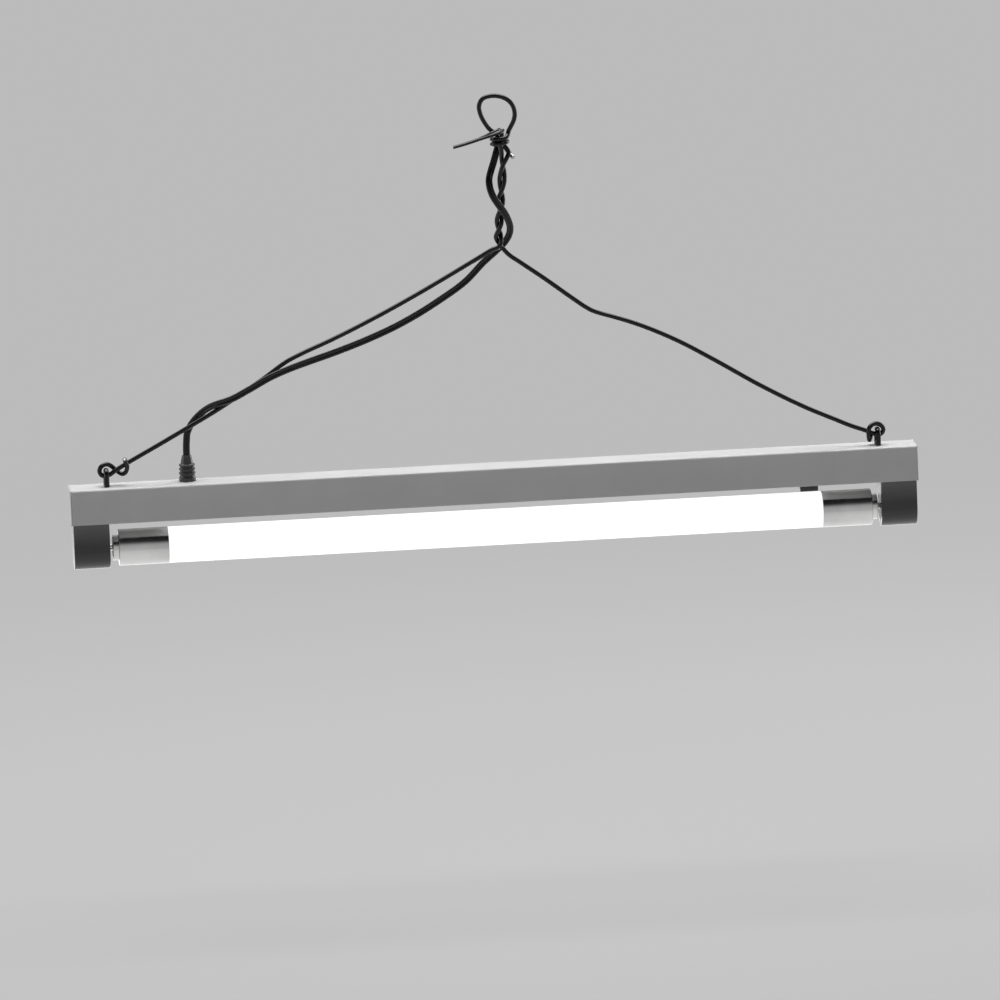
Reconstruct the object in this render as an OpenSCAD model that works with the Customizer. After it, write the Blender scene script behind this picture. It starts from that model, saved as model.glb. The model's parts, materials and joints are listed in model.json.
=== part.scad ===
// Hanging shop light: a sheet-metal bar with one glowing tube below it, hung on
// two stiff coated wires that are twisted together under a hanging loop.
// Millimetres, +X along the bar to the right, +Y to the back, +Z up.
// The origin is the point inside the top of the hanging loop where a hook bears.
// Inside the modules all places are measured from the middle of the bar's top face.

/* [Bar] */
// Height of the sheet-metal channel
bar_h = 27; // [25:0.5:32]
// Depth of the channel, front to back
bar_d = 30; // [29:0.5:34]
// Thickness of the sheet metal
sheet = 1; // [0.8:0.1:1.1]

/* [Tube] */
// Length of the tube between the faces of its two bosses
tube_l = 589.8; // [588:0.2:592]
// Diameter of the tube and of its end caps
tube_d = 28; // [26:0.5:28]
// Free gap between the channel and the tube
tube_gap = 7; // [7:0.5:9]
// Length of an end cap without its boss
cap_l = 38.4; // [34:0.2:42]
// Diameter of the boss at the end of a cap
boss_d = 19.5; // [18:0.5:20]
// Length of the boss
boss_l = 4.5; // [4:0.5:5.5]
// Diameter of a contact pin
pin_d = 2.35; // [2.2:0.05:2.4]
// Length of a contact pin outside the boss
pin_l = 7; // [6.8:0.1:7.2]
// Distance between the two pins of an end
pin_pitch = 12.7; // [12.5:0.1:12.9]
// Number of light-emitting chips on the board
led_count = 48; // [24:2:60]

/* [Lampholders] */
// Length of a lampholder along the bar
holder_l = 27.6; // [25:0.2:30]
// How far a lampholder's sides stand back from the channel's sides
holder_back = 0.2; // [0.1:0.1:0.8]
// How far a lampholder stands back from the end of the bar
holder_inset = 1.3; // [0.5:0.1:3]
// Free gap between a boss and the lampholder
pin_gap = 2.4; // [2:0.1:2.8]

/* [Hanger] */
// Diameter of the coated hanger wire
wire_d = 3.6; // [3.2:0.1:3.6]
// Diameter of the rod of an eyelet
eye_rod_d = 4.2; // [3.8:0.1:4.2]
// Height of the inner top of the hanging loop above the bar
loop_h = 284; // [260:1:320]
// Distance of the hanging loop to the right of the middle of the bar
loop_x = 13.5; // [12:0.5:15]

/* [Cord] */
// Width of the flat two-core cord
cord_w = 5.4; // [5:0.1:5.6]
// Thickness of the flat cord
cord_t = 2.4; // [2.2:0.1:2.6]
// Distance of the cord gland to the left of the middle of the bar
gland_x = 234.8; // [233.8:0.5:235.8]

/* [Switch] */
// Width of the switch block along the bar
switch_w = 14; // [13:0.5:16]
// Height of the switch block below the channel
switch_h = 6.4; // [6:0.1:6.4]
// Distance from the right end of the bar to the middle of the switch
switch_in = 83.3; // [83:0.1:88]

/* [Hidden] */
fine = 96;
medium = 48;
small = 24;

// The bar and the tube
tube_r = tube_d / 2;
tube_z = -bar_h - tube_gap - tube_r;
face_x = tube_l / 2;
holder_x0 = face_x + pin_gap;
holder_x1 = holder_x0 + holder_l;
bar_l = 2 * (holder_x1 + holder_inset);
cap_x0 = face_x - boss_l - cap_l;
cap_x1 = face_x - boss_l;
glass_r = tube_r - 0.1;
glass_wall = 1.1;
neck_l = 8;
cap_wall = 0.8;
neck_r = tube_r - cap_wall - 0.1;

// The lampholders
holder_r = bar_d / 2 - holder_back;
holder_drop = 0.5;
rotor_r = 9.9;
rotor_bore_r = rotor_r + 0.05;
rotor_t = 3.4;
rotor_recess = 0.2;
bore_depth = 6.8;
slot_w = pin_d + 0.5;
contact_y = pin_pitch / 2 + pin_d / 2 + 0.3;
contact_t = 0.4;
foot_l = 20;
foot_d = 18;
foot_h = 5;

// The hanger
wire_r = wire_d / 2;
eye_rod_r = eye_rod_d / 2;
eye_x = holder_x0;
eye_bend_r = wire_r + eye_rod_r + 0.3;
eye_bend_z = 7.9;
photo_eye_x = 297.2;
middle_x = 30;
photo_loop_h = 284;
leg_foot_z = 30;
leg_top_z = 165;
eye_leg_l = 6.5;
strand_r = wire_r + 0.1;
collar_r = 2 * wire_r + strand_r + 0.3;
collar_x = 14.5;
collar_top = 254.3;
collar_pitch = 3.75;
collar_turn = 630;
wire_sides = 10;

// Heights at which the two twisted wires cross, counted in half turns
crossing_z = [[0, 170.8], [1, 183], [2, 197.5], [3, 212.5], [4, 232.6], [5, 251.5], [6, 263]];
// How the axis of the twist wanders: height, then distance right of the bar's middle
twist_axis = [
    [170.8, 11.8], [176.5, 10.7], [184, 11.4], [190, 12], [205, 13.5], [220, 15.2], [233, 16.3], [238, 17.6],
    [243, 18.5], [246.5, 16.8], [249, 14.9], [252, 14.5], [258, 14.5]
];
// How much wider the twist is where it opens below the collar: height, then factor
twist_open = [[232, 1], [238, 1.25], [243, 1.48], [247, 1.1], [250, 1]];

// The hitch round each eyelet: distance inward from the eyelet, depth, height
hitch_left = [
    [14.3, -6.2, 21.2], [14.6, -5.1, 20], [15.4, -4.3, 17.8], [16.2, -3.4, 14.5], [15.2, -1.2, 10.6], [12.6, 1.6, 8.5],
    [9.7, 3.6, 9.8], [7.3, 4.1, 12], [4.2, 3.3, 15], [0, 1.5, 16.7], [-3.8, 0.4, 15], [-5, 0, 11.5],
    [-3.6, 0, 8.8], [0, 0, 7.9], [3.4, 0, 9.2], [7, 0, 11.6], [10.8, 0, 13.9]
];
hitch_right = [
    [4.5, 4.1, 8.2], [5.1, 3.4, 5.4], [6.1, 0.4, 4], [6.9, -2.9, 5.4], [7.3, -4.1, 9],
    [7.2, -4.1, 12.4], [5.4, -3.2, 15.4], [1.5, -1.4, 16.8], [-2.6, -0.4, 15.4],
    [-4.8, 0, 11.6], [-3.4, 0, 8.8], [0, 0, 7.9], [3.4, 0, 9.1], [9, 0, 11.5]
];
// The two legs between hitch and twist: place along the bar, depth, height
leg_left = [
    [-279, 0, 18], [-259, 0, 28.4], [-239, 0, 39], [-208.2, 0, 55.6], [-175, 0, 76], [-152.8, 0, 90.5],
    [-144.5, 0, 94.3], [-119.7, 0, 104.4], [-89.9, 0, 117.8], [-60.1, 0, 132.4], [-32, 0, 147.1], [-4.2, -0.6, 162.3],
    [5.3, -1.4, 167.6]
];
leg_right = [
    [275.8, 0, 16.4], [265.7, 0, 21.1], [245.6, 0, 30.5], [207.8, 0, 51.3], [173.9, 0, 72.5], [145.7, 0, 89.2],
    [130.7, 0, 96.8], [112.7, 0, 104.7], [95.8, 0, 110.8], [86.9, 0, 113.7], [80.4, 0, 116.3], [74.6, 0, 119.9],
    [68.1, 0, 124.8], [44.3, 0, 143.4], [26.4, 0.4, 156.7], [18, 1.2, 163]
];
// The hanging loop above the collar
loop_route = [
    [12.3, 0.6, 256.6], [8.3, 0, 259.3], [3.8, 0, 265.3], [0.4, 0, 273.3], [-0.1, 0, 279.5], [2.8, 0, 284.2],
    [8, 0, 285.9], [13.8, 0, 285.8], [19.8, 0, 283.7], [24.8, 0, 279.1], [26.9, 0, 272.8], [26, 0, 266.6],
    [23.2, 0, 261.1], [21.5, -0.1, 258], [20.9, -1.1, 255.8]
];
collar_tail = [[17.8, 6, 246], [20.4, 5.4, 242.8], [22.6, 3.4, 239.9], [24.5, 0.9, 237.7]];

// The route of the free cord from the gland to its cut end, and where its broad side lies
cord_route = [
    [-234.8, 4.5, 20], [-234.8, 4.5, 22], [-234.7, 4.9, 26], [-234.3, 5.8, 31], [-233.5, 6.6, 36.5], [-230.9, 7, 42],
    [-226.6, 6.4, 47.6], [-221, 4.2, 53], [-215, 0.8, 57.2], [-208.5, -2.6, 60], [-200, -3.6, 62.6],
    [-184.5, -3.6, 70], [-169, -3.6, 78], [-153, -3.3, 84.2], [-137.5, -2, 88.8], [-116.5, -1, 95],
    [-95.5, 0, 102], [-70, 0, 112.3], [-36, 1, 130.4], [-15, 3, 144], [-0.5, 5, 157.6],
    [9.8, 5.7, 166], [16, 5.2, 172], [19.2, 3, 177.6], [20, -0.2, 183.6], [18.4, -3.4, 190.4],
    [15, -5.5, 197.4], [10.4, -5.7, 204], [7, -4.8, 210.2], [5.4, -2.4, 216], [5.4, 1, 221.4],
    [7.2, 4.4, 227], [9.7, 6.6, 233.4], [12.1, 8.6, 240.2], [13.8, 10, 245], [15.1, 10.5, 249.2],
    [16, 10, 253], [16.5, 8.4, 256.3], [16.5, 5.4, 258.5], [16.1, 1.8, 259.3], [14.9, -1.8, 259.2],
    [12.3, -4.6, 258.6], [8.6, -6.1, 257.5], [3.4, -6.2, 255.8], [-2.4, -5.8, 253.8], [-11.5, -4.8, 251],
    [-21.5, -4, 248.5]
];
broad_x = [1, 0, 0];
broad_down = [0.4, 0, -1];
cord_broad = concat(
    [for (i = [0:4]) broad_x],
    [[0.9, 0, -0.4], [0.75, 0, -0.65], [0.6, 0, -0.8], [0.5, 0, -0.85], [0.45, 0, -0.9]],
    [for (i = [10:20]) broad_down],
    [[0.5, 0, -0.8], [0.8, 0, -0.5], [1, 0, -0.4]],
    [for (i = [24:36]) broad_x],
    [[1, 0, -0.1], [1, 0, -0.2], [1, -0.1, -0.3], [0.9, -0.35, -0.35],
    [0.6, -0.65, -0.45], [0.25, -0.85, -0.45], [0.05, -0.97, -0.25]],
    [for (i = [44:46]) [0, -1, 0]]
);

// The gland, the terminal block and the inner leads
gland_at = spread(gland_x);
gland_y = 4.5;
gland_top = 20;
gland_hole_r = 4.1;
slot_clear = 0.1;
term_x = -gland_at + 38;
term_l = 18;
term_w = 16;
term_h = 12;
lead_r = 1;
switch_x = bar_l / 2 - switch_in;
switch_y0 = -1.5;
switch_y1 = bar_d / 2 - sheet;
switch_screw_y = switch_y0 + 4;
lead_y = switch_y1 - 7;
knob_travel = 4;
knob_l = 5;
knob_h = 3;
bracket_x = 0.23 * bar_l;
bracket_l = 12;
screw_r = 1.5;
screw_head_r = 2.8;
screw_head_h = 1.8;

// ---------- helpers ----------

// Moves a shape from the bar's own place to the place where the loop is the origin
module hung() {
    translate([-loop_x, 0, -loop_h]) children();
}

// Draws a shape at both ends of the bar, mirrored
module both_ends() {
    children();
    mirror([1, 0, 0]) children();
}

// A straight cylinder between x0 and x1 on the tube's axis
module on_axis(x0, x1, r, faces = fine) {
    translate([x0, 0, tube_z]) rotate([0, 90, 0]) cylinder(r = r, h = x1 - x0, $fn = faces);
}

// A block given by its low and high corners
module block(low, high) {
    translate(low) cube(high - low);
}

// A place along the bar, moved out or in with the eyelets when the tube's length changes
function spread(x) =
    sign(x) * min(abs(x), middle_x)
        + sign(x) * max(0, abs(x) - middle_x) * (eye_x - middle_x) / (photo_eye_x - middle_x);

// A height above the bar: the legs stretch with the loop's height, and all above them moves with it
function lift(z) =
    z + (loop_h - photo_loop_h) * min(1, max(0, z - leg_foot_z) / (leg_top_z - leg_foot_z));

function placed(p) = [spread(p[0]), p[1], lift(p[2])];

function unit(v) = v / max(norm(v), 1e-9);
function across(v, t) = unit(v - (v * t) * t);

// Slope of a smooth line through three neighbouring points
function slope(a, b, c) =
    let (d0 = max(norm(b - a), 1e-6), d1 = max(norm(c - b), 1e-6))
    unit((b - a) * d1 / d0 + (c - b) * d0 / d1);

// A point on the smooth segment from a to b, with the slopes ta and tb
function hermite(a, b, ta, tb, u) =
    let (d = norm(b - a), u2 = u * u, u3 = u2 * u)
    (2 * u3 - 3 * u2 + 1) * a + (u3 - 2 * u2 + u) * d * ta
        + (3 * u2 - 2 * u3) * b + (u3 - u2) * d * tb;

// A smooth line through the points, with about one step every gap millimetres
function smooth(p, gap) =
    let (
        n = len(p),
        t = [for (i = [0:n - 1])
            i == 0 ? unit(p[1] - p[0]) : i == n - 1 ? unit(p[n - 1] - p[n - 2]) : slope(p[i - 1], p[i], p[i + 1])]
    )
    concat(
        [for (i = [0:n - 2], k = [0:max(1, round(norm(p[i + 1] - p[i]) / gap)) - 1])
            hermite(p[i], p[i + 1], t[i], t[i + 1], k / max(1, round(norm(p[i + 1] - p[i]) / gap)))],
        [p[n - 1]]
    );

// The same count of steps for a second list that runs along with the points
function along(v, p, gap) =
    let (n = len(p))
    concat(
        [for (i = [0:n - 2], k = [0:max(1, round(norm(p[i + 1] - p[i]) / gap)) - 1])
            let (u = k / max(1, round(norm(p[i + 1] - p[i]) / gap))) (1 - u) * v[i] + u * v[i + 1]],
        [v[n - 1]]
    );

function heading(line, i) =
    let (n = len(line)) unit(line[min(i + 1, n - 1)] - line[max(i - 1, 0)]);

// A closed tube of oval section w by t along a line; side[i] points along its broad side
module sweep(line, side, w, t, sides) {
    n = len(line);
    ring = [for (i = [0:n - 1])
        let (h = heading(line, i), a = across(side[i], h), b = cross(h, a))
        for (k = [0:sides - 1])
            line[i] + a * (w / 2 * cos(360 * k / sides)) + b * (t / 2 * sin(360 * k / sides))];
    walls = [for (i = [0:n - 2], k = [0:sides - 1])
        let (k1 = (k + 1) % sides)
        each [
            [i * sides + k, (i + 1) * sides + k, (i + 1) * sides + k1],
            [i * sides + k, (i + 1) * sides + k1, i * sides + k1]
        ]];
    first = [[for (k = [0:sides - 1]) k]];
    last = [[for (k = [sides - 1:-1:0]) (n - 1) * sides + k]];
    polyhedron(points = ring, faces = concat(walls, first, last));
}

// Directions square to the line that turn as little as possible from ring to ring
function carried(line, start) =
    [for (i = 0, a = across(start, heading(line, 0));
        i < len(line);
        i = i + 1, a = i < len(line) ? across(a, heading(line, i)) : a) a];

// A round wire along a list of points
module wire(points, r, gap, sides = wire_sides) {
    line = smooth(points, gap);
    sweep(line, carried(line, [0.05, 1, 0.1]), 2 * r, 2 * r, sides);
}

// One of the two twisted wires; turn is 0 for the left wire and 180 for the right one
function strand(turn, h0, h1) =
    [for (h = [h0:0.25:h1])
        let (z = lookup(h, crossing_z), a = -90 + 180 * h + turn, r = strand_r * lookup(z, twist_open))
        [lookup(z, twist_axis) + r * cos(a), r * sin(a), z]];

// ---------- hanger ----------

module hanger_wire_left() {
    hitch = [for (p = hitch_left) [p[0] - eye_x, p[1], p[2]]];
    collar = [for (a = [45:45:collar_turn])
        [collar_x + collar_r * cos(-a), collar_r * sin(-a), collar_top - collar_pitch * a / 360]];
    upper = concat(leg_left, strand(0, 0, 5.25), loop_route, collar, collar_tail);
    route = concat(hitch, [for (p = upper) placed(p)]);
    color("#17181a") hung() wire(route, wire_r, 4.5);
}

module hanger_wire_right() {
    hitch = [for (p = hitch_right) [eye_x - p[0], p[1], p[2]]];
    upper = concat(leg_right, strand(180, 0, 5.25));
    route = concat(hitch, [for (p = upper) placed(p)]);
    color("#17181a") hung() wire(route, wire_r, 4.5);
}

// ---------- bar ----------

module eye_holes() {
    for (s = [-1, 1], y = [-1, 1])
        translate([s * eye_x, y * eye_bend_r, -sheet - 1])
            cylinder(r = eye_rod_r + 0.05, h = sheet + 2, $fn = medium);
}

module channel() {
    x1 = bar_l / 2 - sheet;
    color("#f2f2f0") hung() difference() {
        block([-x1, -bar_d / 2, -bar_h], [x1, bar_d / 2, 0]);
        block([-x1 - 1, -bar_d / 2 + sheet, -bar_h - 1], [x1 + 1, bar_d / 2 - sheet, -sheet]);
        eye_holes();
        translate([-gland_at, gland_y, -sheet - 1]) cylinder(r = gland_hole_r, h = sheet + 2, $fn = medium);
    }
}

module end_plate() {
    x1 = bar_l / 2;
    tab = 12;
    color("#f2f2f0") hung() {
        block([x1 - sheet, -bar_d / 2, -bar_h], [x1, bar_d / 2, 0]);
        block([x1 - sheet - tab, -bar_d / 2 + sheet, -bar_h + 3], [x1 - sheet, -bar_d / 2 + 2 * sheet, -4]);
        block([x1 - sheet - tab, bar_d / 2 - 2 * sheet, -bar_h + 3], [x1 - sheet, bar_d / 2 - sheet, -4]);
    }
}

module end_plate_left() {
    translate([-2 * loop_x, 0, 0]) mirror([1, 0, 0]) end_plate();
}

module end_plate_right() {
    end_plate();
}

module bottom_cover() {
    x1 = bar_l / 2 - sheet - 0.1;
    y1 = bar_d / 2 - sheet - 0.1;
    color("#ececea") hung() difference() {
        block([-x1, -y1, -bar_h], [x1, y1, -bar_h + sheet]);
        for (s = [-1, 1]) {
            translate([s * (holder_x0 + holder_l / 2), 0, 0])
                block([-foot_l / 2 - 0.1, -foot_d / 2 - 0.1, -bar_h - 1], [foot_l / 2 + 0.1, foot_d / 2 + 0.1, 0]);
            translate([s * bracket_x, 0, -bar_h - 1]) cylinder(r = screw_r + 0.2, h = sheet + 2, $fn = small);
        }
        for (x = [-1, 1])
            translate([switch_x + x * (switch_w / 2 - 3), switch_screw_y, -bar_h - 1])
                cylinder(r = 1.1, h = sheet + 2, $fn = small);
        translate([switch_x, lead_y, -bar_h - 1]) cylinder(r = 1.6, h = sheet + 2, $fn = small);
    }
}

module cover_brackets() {
    y1 = bar_d / 2 - sheet;
    z0 = -bar_h + sheet;
    color("#c9cac9") hung() for (s = [-1, 1]) translate([s * bracket_x, 0, 0]) difference() {
        union() {
            block([-bracket_l / 2, -y1, z0], [bracket_l / 2, y1, z0 + 1.5]);
            for (y = [-1, 1])
                translate([0, y * (y1 - 0.75), 0])
                    block([-bracket_l / 2, -0.75, z0], [bracket_l / 2, 0.75, z0 + 9]);
        }
        translate([0, 0, z0 - 1]) cylinder(r = screw_r + 0.05, h = 4, $fn = small);
    }
}

module screw(l) {
    cylinder(r = screw_r, h = l, $fn = small);
    difference() {
        translate([0, 0, -screw_head_h]) cylinder(r = screw_head_r, h = screw_head_h, $fn = medium);
        translate([-screw_head_r - 1, -0.4, -screw_head_h - 1]) cube([2 * screw_head_r + 2, 0.8, 1.8]);
    }
}

module cover_screws() {
    color("#8d8f92") hung() for (s = [-1, 1])
        translate([s * bracket_x, 0, -bar_h]) screw(6);
}

module eyelet() {
    color("#202124") hung() translate([eye_x, 0, 0]) {
        translate([0, 0, eye_bend_z]) rotate([90, 0, 90])
            rotate_extrude(angle = 180, $fn = fine)
                translate([eye_bend_r, 0]) circle(r = eye_rod_r, $fn = medium);
        for (y = [-1, 1])
            translate([0, y * eye_bend_r, -eye_leg_l])
                cylinder(r = eye_rod_r, h = eye_leg_l + eye_bend_z, $fn = medium);
    }
}

module eyelet_left() {
    translate([-2 * loop_x, 0, 0]) mirror([1, 0, 0]) eyelet();
}

module eyelet_right() {
    eyelet();
}

module eyelet_nuts() {
    nut_r = 4.05;
    color("#8d8f92") hung() for (s = [-1, 1], y = [-1, 1])
        translate([s * eye_x, y * eye_bend_r, -sheet - 3]) difference() {
            rotate([0, 0, 30]) cylinder(r = nut_r, h = 3, $fn = 6);
            translate([0, 0, -1]) cylinder(r = eye_rod_r + 0.02, h = 5, $fn = medium);
        }
}

// ---------- lampholders ----------

module lampholder() {
    xm = holder_x0 + holder_l / 2;
    zc = tube_z - holder_drop;
    color("#8f9194") hung() difference() {
        union() {
            block([holder_x0, -holder_r, zc], [holder_x1, holder_r, -bar_h]);
            translate([holder_x0, 0, zc]) rotate([0, 90, 0]) cylinder(r = holder_r, h = holder_l, $fn = fine);
            block([xm - foot_l / 2, -foot_d / 2, -bar_h - 1], [xm + foot_l / 2, foot_d / 2, -bar_h + foot_h]);
        }
        on_axis(holder_x0 - 1, holder_x0 + bore_depth, rotor_bore_r);
        block([holder_x0 - 1, -slot_w / 2, zc - holder_r - 1], [holder_x0 + bore_depth, slot_w / 2, tube_z]);
        for (y = [-1, 1])
            translate([0, y * (contact_y + contact_t / 2), 0])
                block([holder_x0 + 3.9, -contact_t / 2 - 0.1, tube_z - 4.2],
                    [holder_x0 + bore_depth, contact_t / 2 + 0.1, -bar_h + foot_h + 1]);
        for (x = [-1, 1])
            translate([xm + x * 5, 0, -bar_h + foot_h - 9]) cylinder(r = screw_r + 0.03, h = 10, $fn = small);
    }
}

module lampholder_left() {
    translate([-2 * loop_x, 0, 0]) mirror([1, 0, 0]) lampholder();
}

module lampholder_right() {
    lampholder();
}

module holder_contacts() {
    top = -bar_h + foot_h + 4;
    color("#c8a24a") hung() for (y = [-1, 1]) translate([0, y * (contact_y + contact_t / 2), 0])
        block([holder_x0 + 4.1, -contact_t / 2, tube_z - 4], [holder_x0 + bore_depth - 0.2, contact_t / 2, top]);
}

module holder_contacts_left() {
    translate([-2 * loop_x, 0, 0]) mirror([1, 0, 0]) holder_contacts();
}

module holder_contacts_right() {
    holder_contacts();
}

// Each lampholder's foot has a washer plate across the cover and two screws down into it
module holder_screws() {
    xm = holder_x0 + holder_l / 2;
    z0 = -bar_h + foot_h;
    color("#8d8f92") hung() both_ends() for (x = [-1, 1]) translate([xm + x * 5, 0, 0]) {
        translate([0, 0, z0 - 8]) cylinder(r = screw_r, h = 8 + 1, $fn = small);
        translate([0, 0, z0]) cylinder(r = screw_head_r, h = screw_head_h, $fn = medium);
    }
}

module rotor() {
    x0 = holder_x0 + rotor_recess;
    color("#a7a9ab") hung() difference() {
        on_axis(x0, x0 + rotor_t, rotor_r);
        translate([0, 0, tube_z])
            block([x0 - 1, -rotor_r - 1, -slot_w / 2], [x0 + rotor_t + 1, rotor_r + 1, slot_w / 2]);
    }
    color("#a7a9ab") hung() on_axis(x0 + 1.2, x0 + rotor_t, 3.6, medium);
}

module rotor_left() {
    translate([-2 * loop_x, 0, 0]) mirror([1, 0, 0]) rotor();
}

module rotor_right() {
    rotor();
}

// ---------- cord and inner wiring ----------

module cord_slot(z0, z1, clear) {
    w = cord_w / 2 + clear;
    t = cord_t / 2 + clear;
    translate([-gland_at, gland_y, z0]) linear_extrude(height = z1 - z0) union() {
        translate([-w + t, 0]) circle(r = t, $fn = small);
        translate([w - t, 0]) circle(r = t, $fn = small);
        square([2 * (w - t), 2 * t], center = true);
    }
}

module cord_gland() {
    color("#2b2c2e") hung() difference() {
        translate([-gland_at, gland_y, 0]) {
            rotate_extrude($fn = fine) polygon([
                [0, 0], [6.2, 0], [6.4, 0.8], [6.4, 3], [5.8, 4.4], [5.8, 5], [6.3, 5.3], [6.3, 6.9],
                [5.5, 7.3], [5.5, 8.2], [6.2, 8.5], [6.2, 10.1], [5.4, 10.5], [5.4, 11.4], [6.1, 11.7],
                [6.1, 13.2], [4.8, 13.5], [3.8, gland_top - 0.5], [3.5, gland_top], [0, gland_top]
            ]);
            translate([0, 0, -7]) cylinder(r = gland_hole_r - 0.05, h = 7.5, $fn = medium);
        }
        cord_slot(-8, gland_top + 1, slot_clear);
    }
}

module gland_locknut() {
    color("#2b2c2e") hung() translate([-gland_at, gland_y, -sheet - 3]) difference() {
        cylinder(r = 6.6, h = 3, $fn = 6);
        translate([0, 0, -1]) cylinder(r = gland_hole_r - 0.02, h = 5, $fn = medium);
    }
}

module power_cord() {
    gap = 8;
    route = [for (p = cord_route) placed(p)];
    line = smooth(route, gap);
    color("#202123") hung() sweep(line, along(cord_broad, route, gap), cord_w, cord_t, 8);
}

module cord_tail() {
    core_y = gland_y;
    color("#202123") hung() cord_slot(-12, gland_top, 0);
    for (s = [-1, 1]) color(s < 0 ? "#7a4a2b" : "#3a6ea8") hung()
        wire([[-gland_at + s * 1.3, core_y, -11.5], [-gland_at + s * 1.3, core_y, -15],
            [-gland_at + 8, core_y + s * 2, -19], [term_x - term_l / 2 - 6, s * 4, -13],
            [term_x - term_l / 2 - 0.3, s * 4, -sheet - 6]], lead_r, 4, 8);
}

module terminal_block() {
    color("#e6e4dc") hung() difference() {
        block([term_x - term_l / 2, -term_w / 2, -sheet - term_h], [term_x + term_l / 2, term_w / 2, -sheet]);
        for (y = [-1, 1], x = [-1, 1])
            translate([term_x + x * 4.5, y * 4, -sheet - term_h - 1]) cylinder(r = 2, h = 8, $fn = small);
        block([term_x - 0.8, -term_w / 2 - 1, -sheet - term_h - 1],
            [term_x + 0.8, term_w / 2 + 1, -sheet - term_h + 1.5]);
    }
}

module terminal_screws() {
    color("#b9bbbd") hung() for (y = [-1, 1], x = [-1, 1])
        translate([term_x + x * 4.5, y * 4, -sheet - term_h + 1]) difference() {
            cylinder(r = 1.9, h = 6, $fn = small);
            translate([-3, -0.3, -1]) cube([6, 0.6, 1.8]);
        }
}

// The neutral lead runs from the terminal block to one contact of the left lampholder
module neutral_wire() {
    contact_x = -holder_x0 - 5.4;
    wall_y = bar_d / 2 - sheet - 2.4;
    color("#3a6ea8") hung() wire([[term_x + term_l / 2 + 0.3, 4, -sheet - 6], [term_x + 15, 5, -sheet - 7],
        [term_x + 14, wall_y - 1, -sheet - 9], [term_x + 4, wall_y, -sheet - 11],
        [-gland_at - 6, wall_y, -sheet - 17], [contact_x + 17, wall_y, -bar_h + 7],
        [contact_x + 4, wall_y - 1, -bar_h + 7], [contact_x, contact_y + contact_t + 1.1, -bar_h + 7.5]],
        lead_r, 14, 8);
}

// The live lead runs from the terminal block to the switch
module live_wire() {
    color("#7a4a2b") hung() wire([[term_x + term_l / 2 + 0.3, -4, -sheet - 6], [term_x + 18, -5, -sheet - 6.5],
        [-120, -6, -sheet - 11], [0, -6, -sheet - 11], [bracket_x, -6, -sheet - 11], [switch_x - 30, -4, -sheet - 13],
        [switch_x - 8, 2, -sheet - 14], [switch_x - 1.2, lead_y, -sheet - 18],
        [switch_x - 1.2, lead_y, -bar_h + sheet + 0.5]], lead_r, 30, 8);
}

// The switched lead runs back from the switch to the other contact of the left lampholder
module switched_wire() {
    contact_x = -holder_x0 - 5.4;
    wall_y = bar_d / 2 - sheet - 2.4;
    color("#2f2f31") hung() wire([[switch_x + 1.2, lead_y, -bar_h + sheet + 0.5], [switch_x + 1.2, lead_y, -sheet - 18],
        [switch_x - 6, 3, -sheet - 10.5], [switch_x - 30, -wall_y + 3, -sheet - 8],
        [bracket_x, -wall_y + 1, -sheet - 8], [0, -wall_y + 1, -sheet - 8], [-120, -wall_y + 1, -sheet - 8],
        [term_x, -wall_y, -sheet - 11], [-gland_at - 6, -wall_y, -sheet - 15],
        [contact_x + 17, -wall_y, -bar_h + 8], [contact_x + 4, -wall_y + 1, -bar_h + 7],
        [contact_x, -contact_y - contact_t - 1.1, -bar_h + 7.5]], lead_r, 30, 8);
}

// ---------- switch ----------

module switch_body() {
    color("#1c1d1f") hung() difference() {
        union() {
            block([switch_x - switch_w / 2, switch_y0, -bar_h - switch_h],
                [switch_x + switch_w / 2, switch_y1, -bar_h]);
            translate([switch_x, lead_y, -bar_h - 0.5]) cylinder(r = 1.5, h = 1 + sheet, $fn = small);
        }
        block([switch_x - knob_travel - knob_l / 2 + 1.7, switch_y1 - 4, -bar_h - switch_h / 2 - knob_h / 2 - 0.2],
            [switch_x + knob_travel + knob_l / 2 - 1.7, switch_y1 + 1, -bar_h - switch_h / 2 + knob_h / 2 + 0.2]);
        for (x = [-1, 1])
            translate([switch_x + x * (switch_w / 2 - 3), switch_screw_y, -bar_h - 3.2])
                cylinder(r = 1.02, h = 4, $fn = small);
    }
}

module switch_screws() {
    color("#8d8f92") hung() for (x = [-1, 1])
        translate([switch_x + x * (switch_w / 2 - 3), switch_screw_y, 0]) {
            translate([0, 0, -bar_h - 3]) cylinder(r = 1, h = 3.1 + sheet, $fn = small);
            translate([0, 0, -bar_h + sheet]) cylinder(r = 1.9, h = 1.2, $fn = small);
        }
}

// Drawn in the off place, at the left end of its slot
module switch_knob() {
    x0 = switch_x - knob_travel / 2;
    zc = -bar_h - switch_h / 2;
    color("#e9e9e6") hung() {
        block([x0 - knob_l / 2, switch_y1 - 3.6, zc - knob_h / 2], [x0 + knob_l / 2, switch_y1 + 2.6, zc + knob_h / 2]);
    }
}

// ---------- tube ----------

module tube_glass() {
    x1 = cap_x0;
    color([1, 1, 1, 0.85]) hung() difference() {
        union() {
            on_axis(-x1 + 0.05, x1 - 0.05, glass_r);
            on_axis(-x1 - neck_l, x1 + neck_l, neck_r);
        }
        on_axis(-x1 - neck_l - 1, x1 + neck_l + 1, neck_r - glass_wall);
    }
}

module led_board() {
    half_w = 6;
    r = neck_r - glass_wall - 0.05;
    top = sqrt(r * r - half_w * half_w);
    color("#f4f4f1") hung() translate([0, 0, tube_z])
        block([-cap_x0 + 2, -half_w, top - 1.2], [cap_x0 - 2, half_w, top]);
}

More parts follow.
